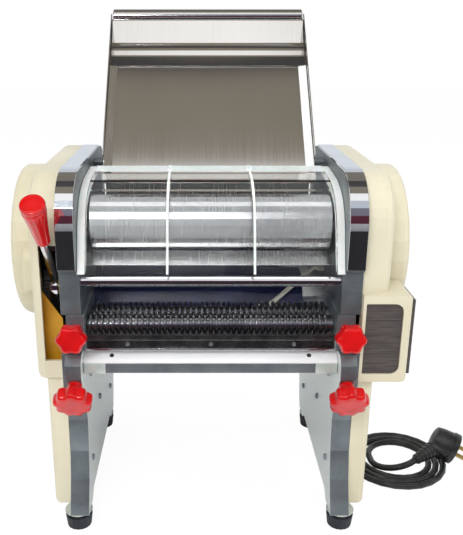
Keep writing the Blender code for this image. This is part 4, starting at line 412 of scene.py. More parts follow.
dust, amount, mask = new_group("dust", "Amount", "NodeSocketFloat", 0.2, "Mask")
shape = new_node(dust, "NewGeometry")
facing = new_node(dust, "SeparateXYZ", {0: shape.outputs["Normal"]})
upward = remapped(dust, facing.outputs["Z"], 0.3, 1.0)
settled = computed(dust, "MULTIPLY", upward, remapped(dust, noise(dust, 90.0, 5.0), 0.40, 0.75))
dust.links.new(computed(dust, "MULTIPLY", settled, amount), mask)
print("node groups:", ", ".join(g.name for g in (patches, grain, edge_wear, dust)))

# %% [markdown]
# ## Finishes
# One recipe makes most of the finishes: two close colours in patches, grain that roughens and
# dents the surface, lighter worn edges, and a little flour dust. Each material is one call with
# its own values, so that the whole machine can be retuned quickly.

# %% Recipe for a finish
FLOUR = (0.80, 0.78, 0.74)
# Heights between which the painted light on side faces fades out; above the slide plate they are in
# shade.
GLARE_GONE_ABOVE = 0.215
GLARE_FULL_BELOW = 0.185


def add_group(tree, group, **values):
    """The result of a shared effect with this finish's own values."""
    return new_node(tree, "Group", values, node_tree=group).outputs[0]


def painted_side_glare(tree):
    """Painted light: a mask that is 1 on faces looking left or right, below the slide plate only."""
    where = new_node(tree, "TexCoord")
    facing = new_node(tree, "SeparateXYZ", {0: where.outputs["Normal"]})
    size = computed(tree, "ABSOLUTE", facing.outputs["X"])
    level = new_node(tree, "SeparateXYZ", {0: where.outputs["Object"]})
    return computed(tree, "MULTIPLY", remapped(tree, size, 0.80, 0.95),
                    remapped(tree, level.outputs["Z"], GLARE_GONE_ABOVE, GLARE_FULL_BELOW))


def made_finish(name, light_colour, dark_colour, least_rough, most_rough, metallic=0.0,
                patch=25.0, grain_scale=(500, 500, 500), depth=0.00003, wear=0.0,
                wear_colour=(0.6, 0.6, 0.6), dusty=0.0, soft_edge=0.0006, side_glare_colour=None,
                streaky=False, **plain):
    """A finish with patches, grain, worn edges and dust, each with its own values."""
    made, tree, shader = new_material(name)
    shader.inputs["Metallic"].default_value = metallic
    for word, value in plain.items():
        shader.inputs[word.replace("_", " ")].default_value = value
    lines = add_group(tree, grain, Scale=grain_scale)
    uneven = lines if streaky else add_group(tree, patches, Scale=patch)
    colour = blend_colour(tree, uneven, light_colour, dark_colour)
    # A side glare colour is painted light: it makes faces that look left or right pale, as if lit.
    if side_glare_colour:
        colour = blend_colour(tree, painted_side_glare(tree), colour, side_glare_colour)
    if wear:
        colour = blend_colour(tree, add_group(tree, edge_wear, Amount=wear), colour, wear_colour)
    if dusty:
        colour = blend_colour(tree, add_group(tree, dust, Amount=dusty), colour, FLOUR)
    tree.links.new(colour, shader.inputs["Base Color"])
    spread = remapped(tree, lines, to_low=least_rough, to_high=most_rough)
    tree.links.new(spread, shader.inputs["Roughness"])
    dents = new_node(tree, "Bump", {"Distance": depth, "Strength": 1.0, "Height": lines})
    if soft_edge:
        edge = new_node(tree, "Bevel", {"Radius": soft_edge}, samples=4)
        tree.links.new(edge.outputs[0], dents.inputs["Normal"])
    tree.links.new(dents.outputs[0], shader.inputs["Normal"])
    return made



# %% The machine's finishes
cream_paint = made_finish("cream moulded shell", (0.745, 0.690, 0.520), (0.680, 0.620, 0.445),
                          0.30, 0.44, patch=9.0, grain_scale=(900, 900, 900), depth=0.000012,
                          wear=0.25, wear_colour=(0.80, 0.77, 0.66), dusty=0.06,
                          Specular_IOR_Level=0.45)
# The frames' pale side glare colour is painted light on their side faces, below the slide plate only.
cast_metal = made_finish("cast side frame", (0.235, 0.270, 0.285), (0.155, 0.175, 0.190), 0.26, 0.46,
                         metallic=0.55, patch=30.0, grain_scale=(700, 700, 260), depth=0.00004,
                         wear=0.6, wear_colour=(0.52, 0.55, 0.58), side_glare_colour=(0.88, 0.92, 0.89))
mirror_chrome = made_finish("bent chrome strip", (0.80, 0.81, 0.84), (0.74, 0.74, 0.78), 0.05, 0.13,
                            metallic=1.0, patch=18.0, grain_scale=(2200, 60, 60), depth=0.000004)
roller_steel = made_finish("ground roller steel", (0.37, 0.375, 0.38), (0.29, 0.295, 0.305), 0.18, 0.30,
                           metallic=1.0, patch=14.0, grain_scale=(1100, 26, 26), depth=0.000004)
sheet_steel = made_finish("brushed sheet steel", (0.80, 0.79, 0.78), (0.72, 0.71, 0.70), 0.16, 0.30,
                          metallic=1.0, patch=10.0, grain_scale=(1300, 35, 35), depth=0.0000025,
                          soft_edge=0.0004)
# The slide plate's near-white, barely metallic colour is a painted reflection of the bright room in
# stainless steel.
slide_painted_reflection = made_finish("slide plate painted reflection", (0.98, 0.98, 0.98), (0.94, 0.94, 0.94), 0.28, 0.38,
                          metallic=0.10, patch=16.0, grain_scale=(900, 30, 30), depth=0.000002)
sleeve_steel = made_finish("pale plated sleeve", (0.60, 0.65, 0.61), (0.50, 0.55, 0.52), 0.26, 0.40,
                           metallic=0.30, patch=40.0, grain_scale=(700, 700, 700), depth=0.00001)
tray_steel = made_finish("polished tray sheet", (0.80, 0.785, 0.765), (0.74, 0.725, 0.70), 0.13,
                         0.20, metallic=1.0, patch=6.0, grain_scale=(700, 9, 9), depth=0.0000025,
                         soft_edge=0.0)
plain_steel = made_finish("turned steel", (0.50, 0.53, 0.56), (0.38, 0.41, 0.45), 0.26, 0.42,
                          metallic=0.9, patch=45.0, grain_scale=(300, 1300, 1300), depth=0.00001)
dark_steel = made_finish("oiled dark steel", (0.120, 0.115, 0.115), (0.060, 0.058, 0.062), 0.20, 0.42,
                         metallic=0.85, patch=70.0, grain_scale=(900, 900, 900), depth=0.00002,
                         wear=0.5, wear_colour=(0.5, 0.5, 0.5))
brass_metal = made_finish("brass", (0.62, 0.44, 0.17), (0.46, 0.31, 0.11), 0.22, 0.42, metallic=0.95,
                          patch=60.0, grain_scale=(800, 800, 800), depth=0.00001, wear=0.3,
                          wear_colour=(0.85, 0.68, 0.34))
red_plastic = made_finish("glossy red plastic", (0.66, 0.003, 0.004), (0.54, 0.002, 0.003), 0.12, 0.22,
                          patch=60.0, grain_scale=(300, 300, 300), depth=0.00001, wear=0.25,
                          wear_colour=(0.90, 0.05, 0.04), Specular_IOR_Level=0.40, Coat_Weight=0.60,
                          Coat_Roughness=0.07)
grey_panel = made_finish("brushed grey panel", (0.150, 0.130, 0.122), (0.062, 0.052, 0.050), 0.30, 0.50,
                         metallic=0.25, streaky=True, grain_scale=(45, 500, 900), depth=0.00002,
                         wear=0.3, wear_colour=(0.35, 0.34, 0.33))
foot_rubber = made_finish("foot rubber", (0.022, 0.026, 0.034), (0.012, 0.014, 0.020), 0.42, 0.66,
                          patch=60.0, grain_scale=(1100, 1100, 1100), depth=0.00004, dusty=0.08)
black_plastic = made_finish("black moulded plastic", (0.020, 0.021, 0.022), (0.011, 0.011, 0.012),
                            0.24, 0.46, patch=50.0, grain_scale=(1300, 1300, 1300), depth=0.00003,
                            dusty=0.05)
motor_paint = made_finish("navy motor paint", (0.012, 0.020, 0.085), (0.006, 0.010, 0.050), 0.30, 0.48,
                          patch=30.0, grain_scale=(500, 500, 500), depth=0.00003, wear=0.3,
                          wear_colour=(0.05, 0.07, 0.20))
cable_sheath = made_finish("pale cable sheath", (0.58, 0.56, 0.50), (0.46, 0.44, 0.38), 0.36, 0.52,
                           patch=80.0, grain_scale=(900, 900, 900), depth=0.00002)
# The mustard is painted glow and shade: the cream cover's inside, seen through the lever slot.
mustard_painted_glow = made_finish("mustard painted glow", (0.78, 0.40, 0.020), (0.58, 0.27, 0.012), 0.34,
                            0.55, patch=28.0, grain_scale=(600, 600, 600), depth=0.00003)
print("finishes made:", len(bpy.data.materials))

# %% [markdown]
# Clear plastic lets lamp light through, which a ray tracer shows only slowly, so its shadow rays
# pass straight on. The milky cheeks scatter light instead: they are near-white, with a little
# light that enters and spreads below the surface.

# %% Clear and milky plastic
GUARD_IOR = 1.18


def clear_finish(name, tint, rough, shadow_share):
    """See-through plastic that lets most of the shadow rays pass straight on."""
    made, tree, shader = new_material(name)
    shader.inputs["Base Color"].default_value = (*tint, 1)
    shader.inputs["Transmission Weight"].default_value = 1.0
    shader.inputs["Metallic"].default_value = 0.0
    shader.inputs["IOR"].default_value = GUARD_IOR
    lines = add_group(tree, grain, Scale=(90, 90, 90))
    tree.links.new(remapped(tree, lines, to_high=rough), shader.inputs["Roughness"])
    rays = new_node(tree, "LightPath")
    share = computed(tree, "MULTIPLY", rays.outputs["Is Shadow Ray"], shadow_share)
    mixed_surface(tree, share, shader, new_node(tree, "BsdfTransparent"))
    return made


clear_plastic = clear_finish("clear guard plastic", (0.97, 0.98, 0.98), 0.06, 0.95)
milky_plastic = made_finish("milky cheek plastic", (0.86, 0.87, 0.85), (0.78, 0.79, 0.76), 0.24,
                            0.38, patch=40.0, grain_scale=(300, 300, 300), depth=0.00001,
                            Subsurface_Weight=0.25, Subsurface_Scale=0.004)
print("clear and milky plastic made")

# %% [markdown]
# ## Dressing the measured solids
# Most solids already have the right shape, so each only takes the finish of its kind.


# %% Finishes on the solids
WORN_BY = {
    cream_paint: ["left_cover", "right_cover"],
    cast_metal: ["left_side_frame", "right_side_frame", "cutter_left_block", "cutter_right_block"],
    mirror_chrome: ["left_trim", "right_trim", "front_rail", "lever_arm"],
    roller_steel: ["front_roller", "rear_roller"],
    sheet_steel: ["front_scraper", "rear_panel"],
    slide_painted_reflection: ["noodle_slide"],
    plain_steel: ["front_tie_bar", "rear_tie_rod", "front_roller_gear", "rear_roller_gear",
                  "main_gear", "idler_gear", "cutter_front_gear", "cutter_rear_gear",
                  "left_eccentric_bush", "right_eccentric_bush", "front_left_bearing",
                  "front_right_bearing", "rear_left_bearing", "rear_right_bearing",
                  "motor_shaft", "large_pulley", "motor_pulley"],
    brass_metal: ["lever_sector"],
    grey_panel: ["switch_window_plate", "switch_side_plate"],
    foot_rubber: ["front_left_foot", "front_right_foot", "rear_left_foot", "rear_right_foot",
                  "drive_belt"],
    black_plastic: ["rocker_switch", "cord_gland"],
    motor_paint: ["motor"],
    cable_sheath: ["motor_cable"],
    clear_plastic: ["roller_guard"],
    milky_plastic: ["left_guard_cheek", "right_guard_cheek"],
}
dressed = set()
for finish, names in WORN_BY.items():
    for name in names:
        nodes[name].data.materials.clear()
        nodes[name].data.materials.append(finish)
        dressed.add(name)
mains_cord.data.materials.append(black_plastic)
print("dressed", len(dressed), "left over", sorted(set(nodes) - dressed))

# %% [markdown]
# ## Tools of the workshop
# A lathe and a block make most of the new pieces. The lathe starts from a round face and
# extrudes it station by station; the block starts from a cube and rounds its edges with a bevel.
# Both leave the finished piece with its place in its mesh.

# %% Shaping helpers


def deselect():
    """Leaves edit mode and lets go of everything, because operators act on what is selected."""
    if bpy.context.object and bpy.context.object.mode != "OBJECT":
        bpy.ops.object.mode_set(mode="OBJECT")
    bpy.ops.object.select_all(action="DESELECT")


def hold(piece):
    """Selects one piece alone and makes it active."""
    deselect()
    piece.select_set(True)
    bpy.context.view_layer.objects.active = piece


def lathe(name, stations, segments=40):
    """A turned piece along X. Stations are (place along X, radius) from one end to the other."""
    deselect()
    x, radius = stations[0]
    bpy.ops.mesh.primitive_circle_add(vertices=segments, radius=radius, fill_type="NGON",
                                      location=(x, 0, 0), rotation=(0, math.pi / 2, 0))
    piece = bpy.context.object
    piece.name = name
    bpy.ops.object.transform_apply(location=True, rotation=True, scale=True)
    bpy.ops.object.mode_set(mode="EDIT")
    for (x0, r0), (x1, r1) in zip(stations, stations[1:]):
        bpy.ops.mesh.extrude_region_move(TRANSFORM_OT_translate={"value": (x1 - x0, 0, 0)})
        bpy.ops.transform.resize(value=(1, r1 / r0, r1 / r0), center_override=(x1, 0, 0))
    bpy.ops.mesh.select_all(action="SELECT")
    bpy.ops.mesh.normals_make_consistent(inside=False)
    bpy.ops.object.mode_set(mode="OBJECT")
    return piece


def block(name, low, high, bevel=0.0, segments=2):
    """A rectangular piece between two corners, with rounded edges."""
    deselect()
    middle = [(a + b) / 2 for a, b in zip(low, high)]
    bpy.ops.mesh.primitive_cube_add(size=1, location=middle)
    piece = bpy.context.object
    piece.name = name
    piece.scale = [b - a for a, b in zip(low, high)]
    bpy.ops.object.transform_apply(location=True, rotation=True, scale=True)
    if bevel:
        worked(piece, "BEVEL", width=bevel, segments=segments, limit_method="ANGLE")
    return piece


def worked(piece, kind, **settings):
    """Adds one modifier and applies it."""
    hold(piece)
    step = piece.modifiers.new(kind, kind)
    for word, value in settings.items():
        setattr(step, word, value)
    bpy.ops.object.modifier_apply(modifier=step.name)
    return piece


def smooth(piece, degrees=35):
    """Shades facets as one round face where they meet at less than an angle."""
    hold(piece)
    bpy.ops.object.shade_smooth_by_angle(angle=math.radians(degrees))
    return piece


def copied(piece, matrix, name):
    """A copy with its own mesh, moved by a matrix."""
    twin = piece.copy()
    twin.data = piece.data.copy()
    twin.name = name
    bpy.context.scene.collection.objects.link(twin)
    twin.data.transform(matrix)
    return twin


def joined(pieces, name):
    """Makes one piece of several, under a new name."""
    deselect()
    for piece in pieces:
        piece.select_set(True)
    bpy.context.view_layer.objects.active = pieces[0]
    bpy.ops.object.join()
    pieces[0].name = name
    return pieces[0]


def pointed(direction, at):
    """The matrix that lays the X axis along a direction and starts it at a place."""
    turn_by = Vector((1, 0, 0)).rotation_difference(Vector(direction).normalized())
    return Matrix.Translation(at) @ turn_by.to_matrix().to_4x4()


def mounted(piece, body, finish, slot, *stands_for):
    """Gives a finished piece its material, the body it moves with and the solid it stands for."""
    piece.data.materials.clear()
    piece.data.materials.append(finish)
    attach(piece, body)
    if stands_for:
        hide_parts(*stands_for)
    print(piece.name, "has", len(piece.data.polygons), "faces")
    return piece


# %% [markdown]
# ## Noodle cutters
# Two cutter rollers run side by side, each a core with many thin rings, and the rings of one run
# in the gaps of the other. One ring is turned and copied along the core, which keeps them all
# alike. Their rims are rounded, so that each catches a thin line of light.

# %% Cutter rollers
RINGS = 43
CUTTER_SPAN = 0.232
CUTTER_HEIGHT = 0.2075
FRONT_CUTTER_Y = 0.026
REAR_CUTTER_Y = 0.051
FRONT_SHIFT = 0.30
REAR_SHIFT = 0.80
RING_PITCH = CUTTER_SPAN / RINGS
RING_WIDTH = RING_PITCH * 0.52
RING_RIM = 0.00075
RING_LINE = ((0.0, 0.0094), (0.0001, 0.0130), (RING_RIM * 0.4, 0.0137), (RING_RIM, 0.0140),
             (RING_WIDTH - RING_RIM, 0.0140), (RING_WIDTH - RING_RIM * 0.4, 0.0137),
             (RING_WIDTH - 0.0001, 0.0130), (RING_WIDTH, 0.0094))
CORE_LINE = ((-0.1268, 0.0060), (-0.1160, 0.0060), (-0.1159, 0.0095), (0.1159, 0.0095),
             (0.1160, 0.0060), (0.1268, 0.0060))
cutter_steel = made_finish("cutter ring steel", (0.250, 0.250, 0.265), (0.160, 0.160, 0.175),
                           0.20, 0.28, metallic=0.95, patch=60.0, grain_scale=(900, 900, 900),
                           depth=0.000002, soft_edge=0.0)


def ringed_roller(name, y, shift, body):
    """A core with its rings, which start a share of the pitch from the core's end."""
    ring = lathe("ring", RING_LINE, 36)
    first = -CUTTER_SPAN / 2 + RING_PITCH * shift
    rings = [copied(ring, Matrix.Translation((first + RING_PITCH * k, 0, 0)), "ring copy")
             for k in range(RINGS - 1)]
    bpy.data.objects.remove(ring)
    roller = joined([lathe("core", CORE_LINE, 36)] + rings, name)
    roller.data.transform(Matrix.Translation(place(0, y, CUTTER_HEIGHT)))
    smooth(roller, 40)
    return mounted(roller, body, cutter_steel, "dark_steel", body + "_roller")


ringed_roller("front_ringed_cutter", FRONT_CUTTER_Y, FRONT_SHIFT, "cutter_front")
ringed_roller("rear_ringed_cutter", REAR_CUTTER_Y, REAR_SHIFT, "cutter_rear")

# %% [markdown]
# ## Comb
# A comb in front of the cutters strips the noodles from the grooves. Each tooth is a small wedge
# that points up between two rings: a block whose upper face is drawn together in edit mode. Three
# screws hold the comb to the sill below it.

# %% Comb with teeth, sill and screws
TOOTH_HALF = 0.00085
TOOTH_HEIGHT = 0.0042
TOOTH_SHIFT = 0.73
LAST_TOOTH = 0.1155
tooth = block("tooth", (-TOOTH_HALF, -0.0016, 0.0), (TOOTH_HALF, 0.0016, TOOTH_HEIGHT))
hold(tooth)
bpy.ops.object.mode_set(mode="EDIT")
bpy.ops.mesh.select_all(action="DESELECT")
bpy.ops.object.mode_set(mode="OBJECT")
for vertex in tooth.data.vertices:
    vertex.select = vertex.co.z > TOOTH_HEIGHT / 2
bpy.ops.object.mode_set(mode="EDIT")
bpy.ops.transform.resize(value=(0.25, 0.35, 1), center_override=(0, 0.0008, TOOTH_HEIGHT))
bpy.ops.object.mode_set(mode="OBJECT")
teeth = []
for k in range(RINGS - 1):
    x = -CUTTER_SPAN / 2 + RING_PITCH * (k + FRONT_SHIFT + TOOTH_SHIFT)
    if abs(x) < LAST_TOOTH:
        teeth.append(copied(tooth, Matrix.Translation(place(x, 0.0079, 0.2056)), "tooth copy"))
bpy.data.objects.remove(tooth)
bar = block("bar", place(-0.1163, 0.0062, 0.1995), place(0.1163, 0.0097, 0.2057), 0.0005)
web = block("web", place(-0.1160, 0.0077, 0.1915), place(0.1160, 0.0095, 0.2000), 0.0002)
sill = block("sill", place(-0.1160, 0.0046, 0.1906), place(0.1160, 0.0144, 0.1926), 0.0005)
comb = smooth(joined([bar, web] + teeth, "comb"))
mounted(comb, "cutter_unit", dark_steel, "dark_steel", "comb_bar")
mounted(smooth(sill), "cutter_unit", mirror_chrome, "chrome").name = "comb_sill"


def socket_screw(name, radius, height, at, direction, body):
    """A cheese-head screw with a hollow in its head, standing on a face."""
    screw = lathe(name, [(-0.0006, radius * 0.9), (height * 0.55, radius),
                         (height * 0.9, radius * 0.93), (height, radius * 0.78),
                         (height, radius * 0.46), (height * 0.35, radius * 0.42)], 20)
    screw.data.transform(pointed(direction, at))
    smooth(screw, 40)
    return mounted(screw, body, plain_steel, "steel")


for word, x in (("left", -0.0775), ("middle", 0.0004), ("right", 0.0780)):
    socket_screw("comb_" + word + "_screw", 0.0021, 0.0016, place(x, 0.0077, 0.1962), (0, -1, 0),
                 "cutter_unit")

# %% [markdown]
# ## Knobs
# The four red knobs are moulded with rounded lobes for the fingers. One outline with its valleys
# drawn in is extruded into a thick star, and subdivision rounds every edge, as a mould would.

# %% Lobed knobs
POINTS_PER_LOBE = 6
KNOB_BACK = 0.84
KNOB_PROFILE = ((0.05, 1.13), (0.20, 1.19), (0.55, 1.19), (0.84, 1.16), (0.96, 1.04), (1.0, 0.90),
                (1.01, 0.55), (0.985, 0.30))
KNOB_X = 0.1262
DOWN = math.radians(30.0)


def lobed_knob(name, radius, lobes, thickness, valley, hub):
    """A star-shaped knob along X with a soft rim, a shallow face and a round hub behind it."""
    deselect()
    bpy.ops.mesh.primitive_circle_add(vertices=lobes * POINTS_PER_LOBE, radius=radius * KNOB_BACK,
                                      fill_type="NGON", location=(hub, 0, 0),
                                      rotation=(0, math.pi / 2, 0))
    knob = bpy.context.object
    bpy.ops.object.transform_apply(location=True, rotation=True, scale=True)
    for vertex in knob.data.vertices:
        angle = math.atan2(vertex.co.z, vertex.co.y)
        drawn = 1 - valley * (0.5 - 0.5 * math.cos(lobes * angle))
        vertex.co.y *= drawn
        vertex.co.z *= drawn
    bpy.ops.object.mode_set(mode="EDIT")
    bpy.ops.mesh.select_all(action="SELECT")
    last, size = 0.0, 1.0
    for run_to, width in KNOB_PROFILE:
        bpy.ops.mesh.extrude_region_move(
            TRANSFORM_OT_translate={"value": ((run_to - last) * thickness, 0, 0)})
        bpy.ops.transform.resize(value=(1, width / size, width / size), center_override=(0, 0, 0))
        last, size = run_to, width
    bpy.ops.mesh.select_all(action="SELECT")
    bpy.ops.mesh.normals_make_consistent(inside=False)
    bpy.ops.object.mode_set(mode="OBJECT")
    worked(knob, "SUBSURF", levels=2, render_levels=2)
    neck = lathe("neck", [(-0.004, 0.0034), (0.0002, 0.0034), (0.0004, 0.0070), (hub * 0.5, 0.0066),
                          (hub + 0.001, 0.0078)], 28)
    return smooth(joined([knob, neck], name), 50)


upper_pattern = lobed_knob("upper pattern", radius=0.0146, lobes=6, thickness=0.0130,
                           valley=0.175, hub=0.0115)
lower_pattern = lobed_knob("lower pattern", radius=0.0187, lobes=9, thickness=0.0135,
                           valley=0.150, hub=0.0108)
KNOBS = (("upper", "cutter", upper_pattern, (0, -1, 0), 0.0045, 0.210),
         ("lower", "frame", lower_pattern, (0, -math.cos(DOWN), -math.sin(DOWN)), -0.0075, 0.161))
for word, side in (("left", -1), ("right", 1)):
    for level, carrier, pattern, way, y, z in KNOBS:
        knob = copied(pattern, pointed(way, place(side * KNOB_X, y, z)),
                      word + "_" + carrier + "_knob")
        solid = level + "_" + word + "_knob"
        mounted(knob, solid, red_plastic, "red", solid)
bpy.data.objects.remove(upper_pattern)
bpy.data.objects.remove(lower_pattern)

# %% [markdown]
# ## Lever grip
# The lever that sets the roller gap ends in a red grip, wider at its top and drawn in by shallow
# flutes along its sides, with a flat cap. It is turned on the lathe, and its vertices are then
# drawn in where a flute runs, which needs no cutting.

# %% Fluted grip
GRIP_LINE = ((0.0, 0.0058), (0.0008, 0.0066), (0.010, 0.0072), (0.024, 0.0084), (0.037, 0.0099),
             (0.045, 0.0109), (0.0465, 0.0107), (0.0472, 0.0103), (0.0480, 0.0108),
             (0.0505, 0.0110), (0.0522, 0.0104), (0.0530, 0.0088), (0.0531, 0.0040))
GRIP_LENGTH = 0.053
FLUTES = 10
FLUTE_DEPTH = 0.055
FLUTE_START = 0.004
FLUTE_STOP = 0.046
LEVER_PIVOT = (-0.1475, 0.042, 0.241)
LEVER_REACH = 0.127
RISE = math.radians(51.7)
grip = lathe("lever_handle", GRIP_LINE, 60)
for vertex in grip.data.vertices:
    if FLUTE_START < vertex.co.x < FLUTE_STOP:
        angle = math.atan2(vertex.co.z, vertex.co.y)
        flute = 1 - FLUTE_DEPTH * max(0.0, math.cos(FLUTES * angle)) ** 2
        vertex.co.y *= flute
        vertex.co.z *= flute
lever_way = Vector((0, -math.cos(RISE), math.sin(RISE)))
grip_foot = place(*LEVER_PIVOT) + lever_way * (LEVER_REACH - GRIP_LENGTH)
grip.data.transform(pointed(lever_way, grip_foot))
mounted(smooth(grip, 40), "lever", red_plastic, "red", "lever_grip")

# %% [markdown]
# ## Hopper tray
# The tray is one bent sheet of polished steel. Its side edges fold up, and near the top a second
# sheet is laid on, pressed into a bead and rolled round a bar. It gets steeper towards the roll,
# so it shows the bright part of the room while the tray shows the darker ceiling. Sheets are
# pulled out from an edge in edit mode, and a modifier then gives them their thickness.

# %% Tray
TRAY_LENGTH = 0.2235
TRAY_WIDTH = 0.2230
FLAT_LIP = 0.0303
SIDE_HEIGHT = 0.0096
SLOPE = math.radians(47.2)
TRAY_TURN = Matrix.Translation(place(0, 0.126, 0.323)) @ Matrix.Rotation(SLOPE, 4, "X")
FOLD_SHEET = 0.0009
FOLD_LINE = ((0.1535, 0.0017), (0.1545, 0.0028), (0.1560, 0.0026), (0.1675, 0.0013),
             (0.1690, 0.0012), (0.1702, 0.0014), (0.1750, 0.0027), (0.1762, 0.0029),
             (0.1775, 0.0029), (0.1835, 0.0029), (0.1860, 0.0014), (0.1872, 0.0014),
             (0.1884, 0.0017), (0.2140, 0.0085), (0.2155, 0.0089))
RIM_HALF = 0.0042
RIM_X = 0.1056
RIM_RISE = 0.0020
RIM_LINE = ((0.0120, 0.0022), (0.0140, 0.0022), (0.1500, 0.0022), (0.1530, 0.0022))
ROLL_LIFT = 0.0045
ROLL_LINE = ((-0.1094, 0.0068), (-0.1090, 0.0080), (-0.1080, 0.0088), (0.1080, 0.0088),
             (0.1090, 0.0080), (0.1094, 0.0068))


def pulled_out(steps):
    """Extrudes the selected edges of the active piece by one step after another."""
    choose = bpy.context.tool_settings
    choose.mesh_select_mode = (False, True, False)
    bpy.ops.object.mode_set(mode="EDIT")
    for step in steps:
        bpy.ops.mesh.extrude_region_move(TRANSFORM_OT_translate={"value": step})
    bpy.ops.object.mode_set(mode="OBJECT")
    choose.mesh_select_mode = (True, False, False)


def tray_sheet():
    """The bent sheet, made flat with X across, Y up the tray and Z off its face."""
    deselect()
    bpy.ops.mesh.primitive_plane_add(size=1, location=(0, TRAY_LENGTH / 2, 0.0002))
    sheet = bpy.context.object
    sheet.scale = (TRAY_WIDTH, TRAY_LENGTH, 1)
    bpy.ops.object.transform_apply(location=True, rotation=True, scale=True)
    bpy.ops.object.mode_set(mode="EDIT")
    bpy.ops.mesh.select_all(action="SELECT")
    bpy.ops.mesh.bisect(plane_co=(0, FLAT_LIP, 0), plane_no=(0, 1, 0))
    bpy.ops.mesh.select_all(action="DESELECT")
    bpy.ops.object.mode_set(mode="OBJECT")
    for edge in sheet.data.edges:
        ends = [sheet.data.vertices[k].co for k in edge.vertices]
        edge.select = (abs(ends[0].x - ends[1].x) < 1e-6
                       and min(end.y for end in ends) > FLAT_LIP / 2)
    pulled_out([(0, 0, SIDE_HEIGHT)])
    worked(sheet, "SOLIDIFY", thickness=0.0011, offset=1.0)
    worked(sheet, "BEVEL", width=0.0007, segments=3, limit_method="ANGLE",
           angle_limit=math.radians(50))
    return sheet


def ribbon(name, half, stations, thickness, offset=1.0):
    """A sheet strip across X, extruded from one station (y, z) to the next."""
    deselect()
    (y0, z0), (y1, z1) = stations[0], stations[1]
    bpy.ops.mesh.primitive_plane_add(size=1)
    strip = bpy.context.object
    strip.name = name
    for vertex in strip.data.vertices:
        y, z = (y0, z0) if vertex.co.y < 0 else (y1, z1)
        vertex.co = (math.copysign(half, vertex.co.x), y, z)
    for edge in strip.data.edges:
        edge.select = all(strip.data.vertices[k].co.y > (y0 + y1) / 2 for k in edge.vertices)
    for face in strip.data.polygons:
        face.select = False
    pulled_out([(0, yb - ya, zb - za)
                for (ya, za), (yb, zb) in zip(stations[1:], stations[2:])])
    return worked(strip, "SOLIDIFY", thickness=thickness, offset=offset)


tray = tray_sheet()
fold = ribbon("fold", 0.1096, FOLD_LINE, FOLD_SHEET, -1.0)
worked(fold, "BEVEL", width=0.0003, segments=2, limit_method="ANGLE", angle_limit=math.radians(60))
# The right rim takes the white slide finish as a painted highlight, the left plain sheet steel: a lit
# and a shaded copy.
for word, side, finish in (("left", -1, sheet_steel), ("right", 1, slide_painted_reflection)):
    rim = ribbon("hopper_" + word + "_rim", RIM_HALF, RIM_LINE, FOLD_SHEET, -1.0)
    for vertex in rim.data.vertices:
        if vertex.co.x * side > 0:
            vertex.co.z += RIM_RISE
    rim.data.transform(TRAY_TURN @ Matrix.Translation((side * RIM_X, 0, 0)))
    mounted(smooth(rim), "hopper", finish, "stainless")
roll = lathe("roll", ROLL_LINE, 56)
roll.data.transform(Matrix.Translation((0, TRAY_LENGTH, ROLL_LIFT)))
whole_tray = joined([tray, fold, roll], "hopper_sheet")
whole_tray.data.transform(TRAY_TURN)
mounted(smooth(whole_tray), "hopper", tray_steel, "stainless", "hopper_tray")

# %% [markdown]
# ## Small fittings
# Screws, sleeves and holes tell how the machine is put together. A bare sleeve covers each end
# of the tie bar, the slide plate has a fixing hole near each end, and socket screws hold the
# cross pieces to the side frames. A hole this small is laid on as a thin black disc with a dip,
# whose black is painted shade for the dark inside of the hole.

# %% Sleeves, holes and screws
SLEEVE_END = 0.1190
SLEEVE_LENGTH = 0.0205
HOLE_X = 0.0930
HOLE_LINE = ((0.0, 0.0022), (0.0003, 0.0021), (0.0003, 0.0012), (0.0001, 0.0010))
SLIDE_TILT = 0.484
FRAME_FACE = 0.1195
SCREW_PLACES = ((0.040, 0.150), (0.096, 0.094), (0.186, 0.060), (0.030, 0.060), (0.150, 0.262),
                (0.196, 0.300))
for word, side in (("left", -1), ("right", 1)):
    ends = sorted((side * SLEEVE_END, side * (SLEEVE_END - SLEEVE_LENGTH)))
    sleeve = block("tie_" + word + "_sleeve", place(ends[0], 0.0018, 0.1679),
                   place(ends[1], 0.0101, 0.1786), 0.0006)
    mounted(smooth(sleeve), "frame", sleeve_steel, "stainless")
    # The black disc is painted shade standing for the inside of the fixing hole.
    hole_shade = lathe("slide_" + word + "_hole_shade", HOLE_LINE, 20)
    hole_shade.data.transform(pointed((0, -math.sin(SLIDE_TILT), math.cos(SLIDE_TILT)),
                                place(side * HOLE_X, 0.0092, 0.1835)))
    mounted(smooth(hole_shade), "frame", black_plastic, "black")
    for number, (y, z) in enumerate(SCREW_PLACES):
        socket_screw(word + "_frame_screw_" + str(number), 0.0034, 0.0022,
                     place(side * FRAME_FACE, y, z), (-side, 0, 0), "frame")

# %% [markdown]
# ## Guard edges and foot washers
# The clear guard is bent from one sheet. Its two ribs show whitish lines, part milky plastic and
# part painted highlight, and a painted highlight runs along its upper edge where the sheet bends;
# these are laid on as thin strips of milky plastic. Each rubber foot has a pale washer on top.

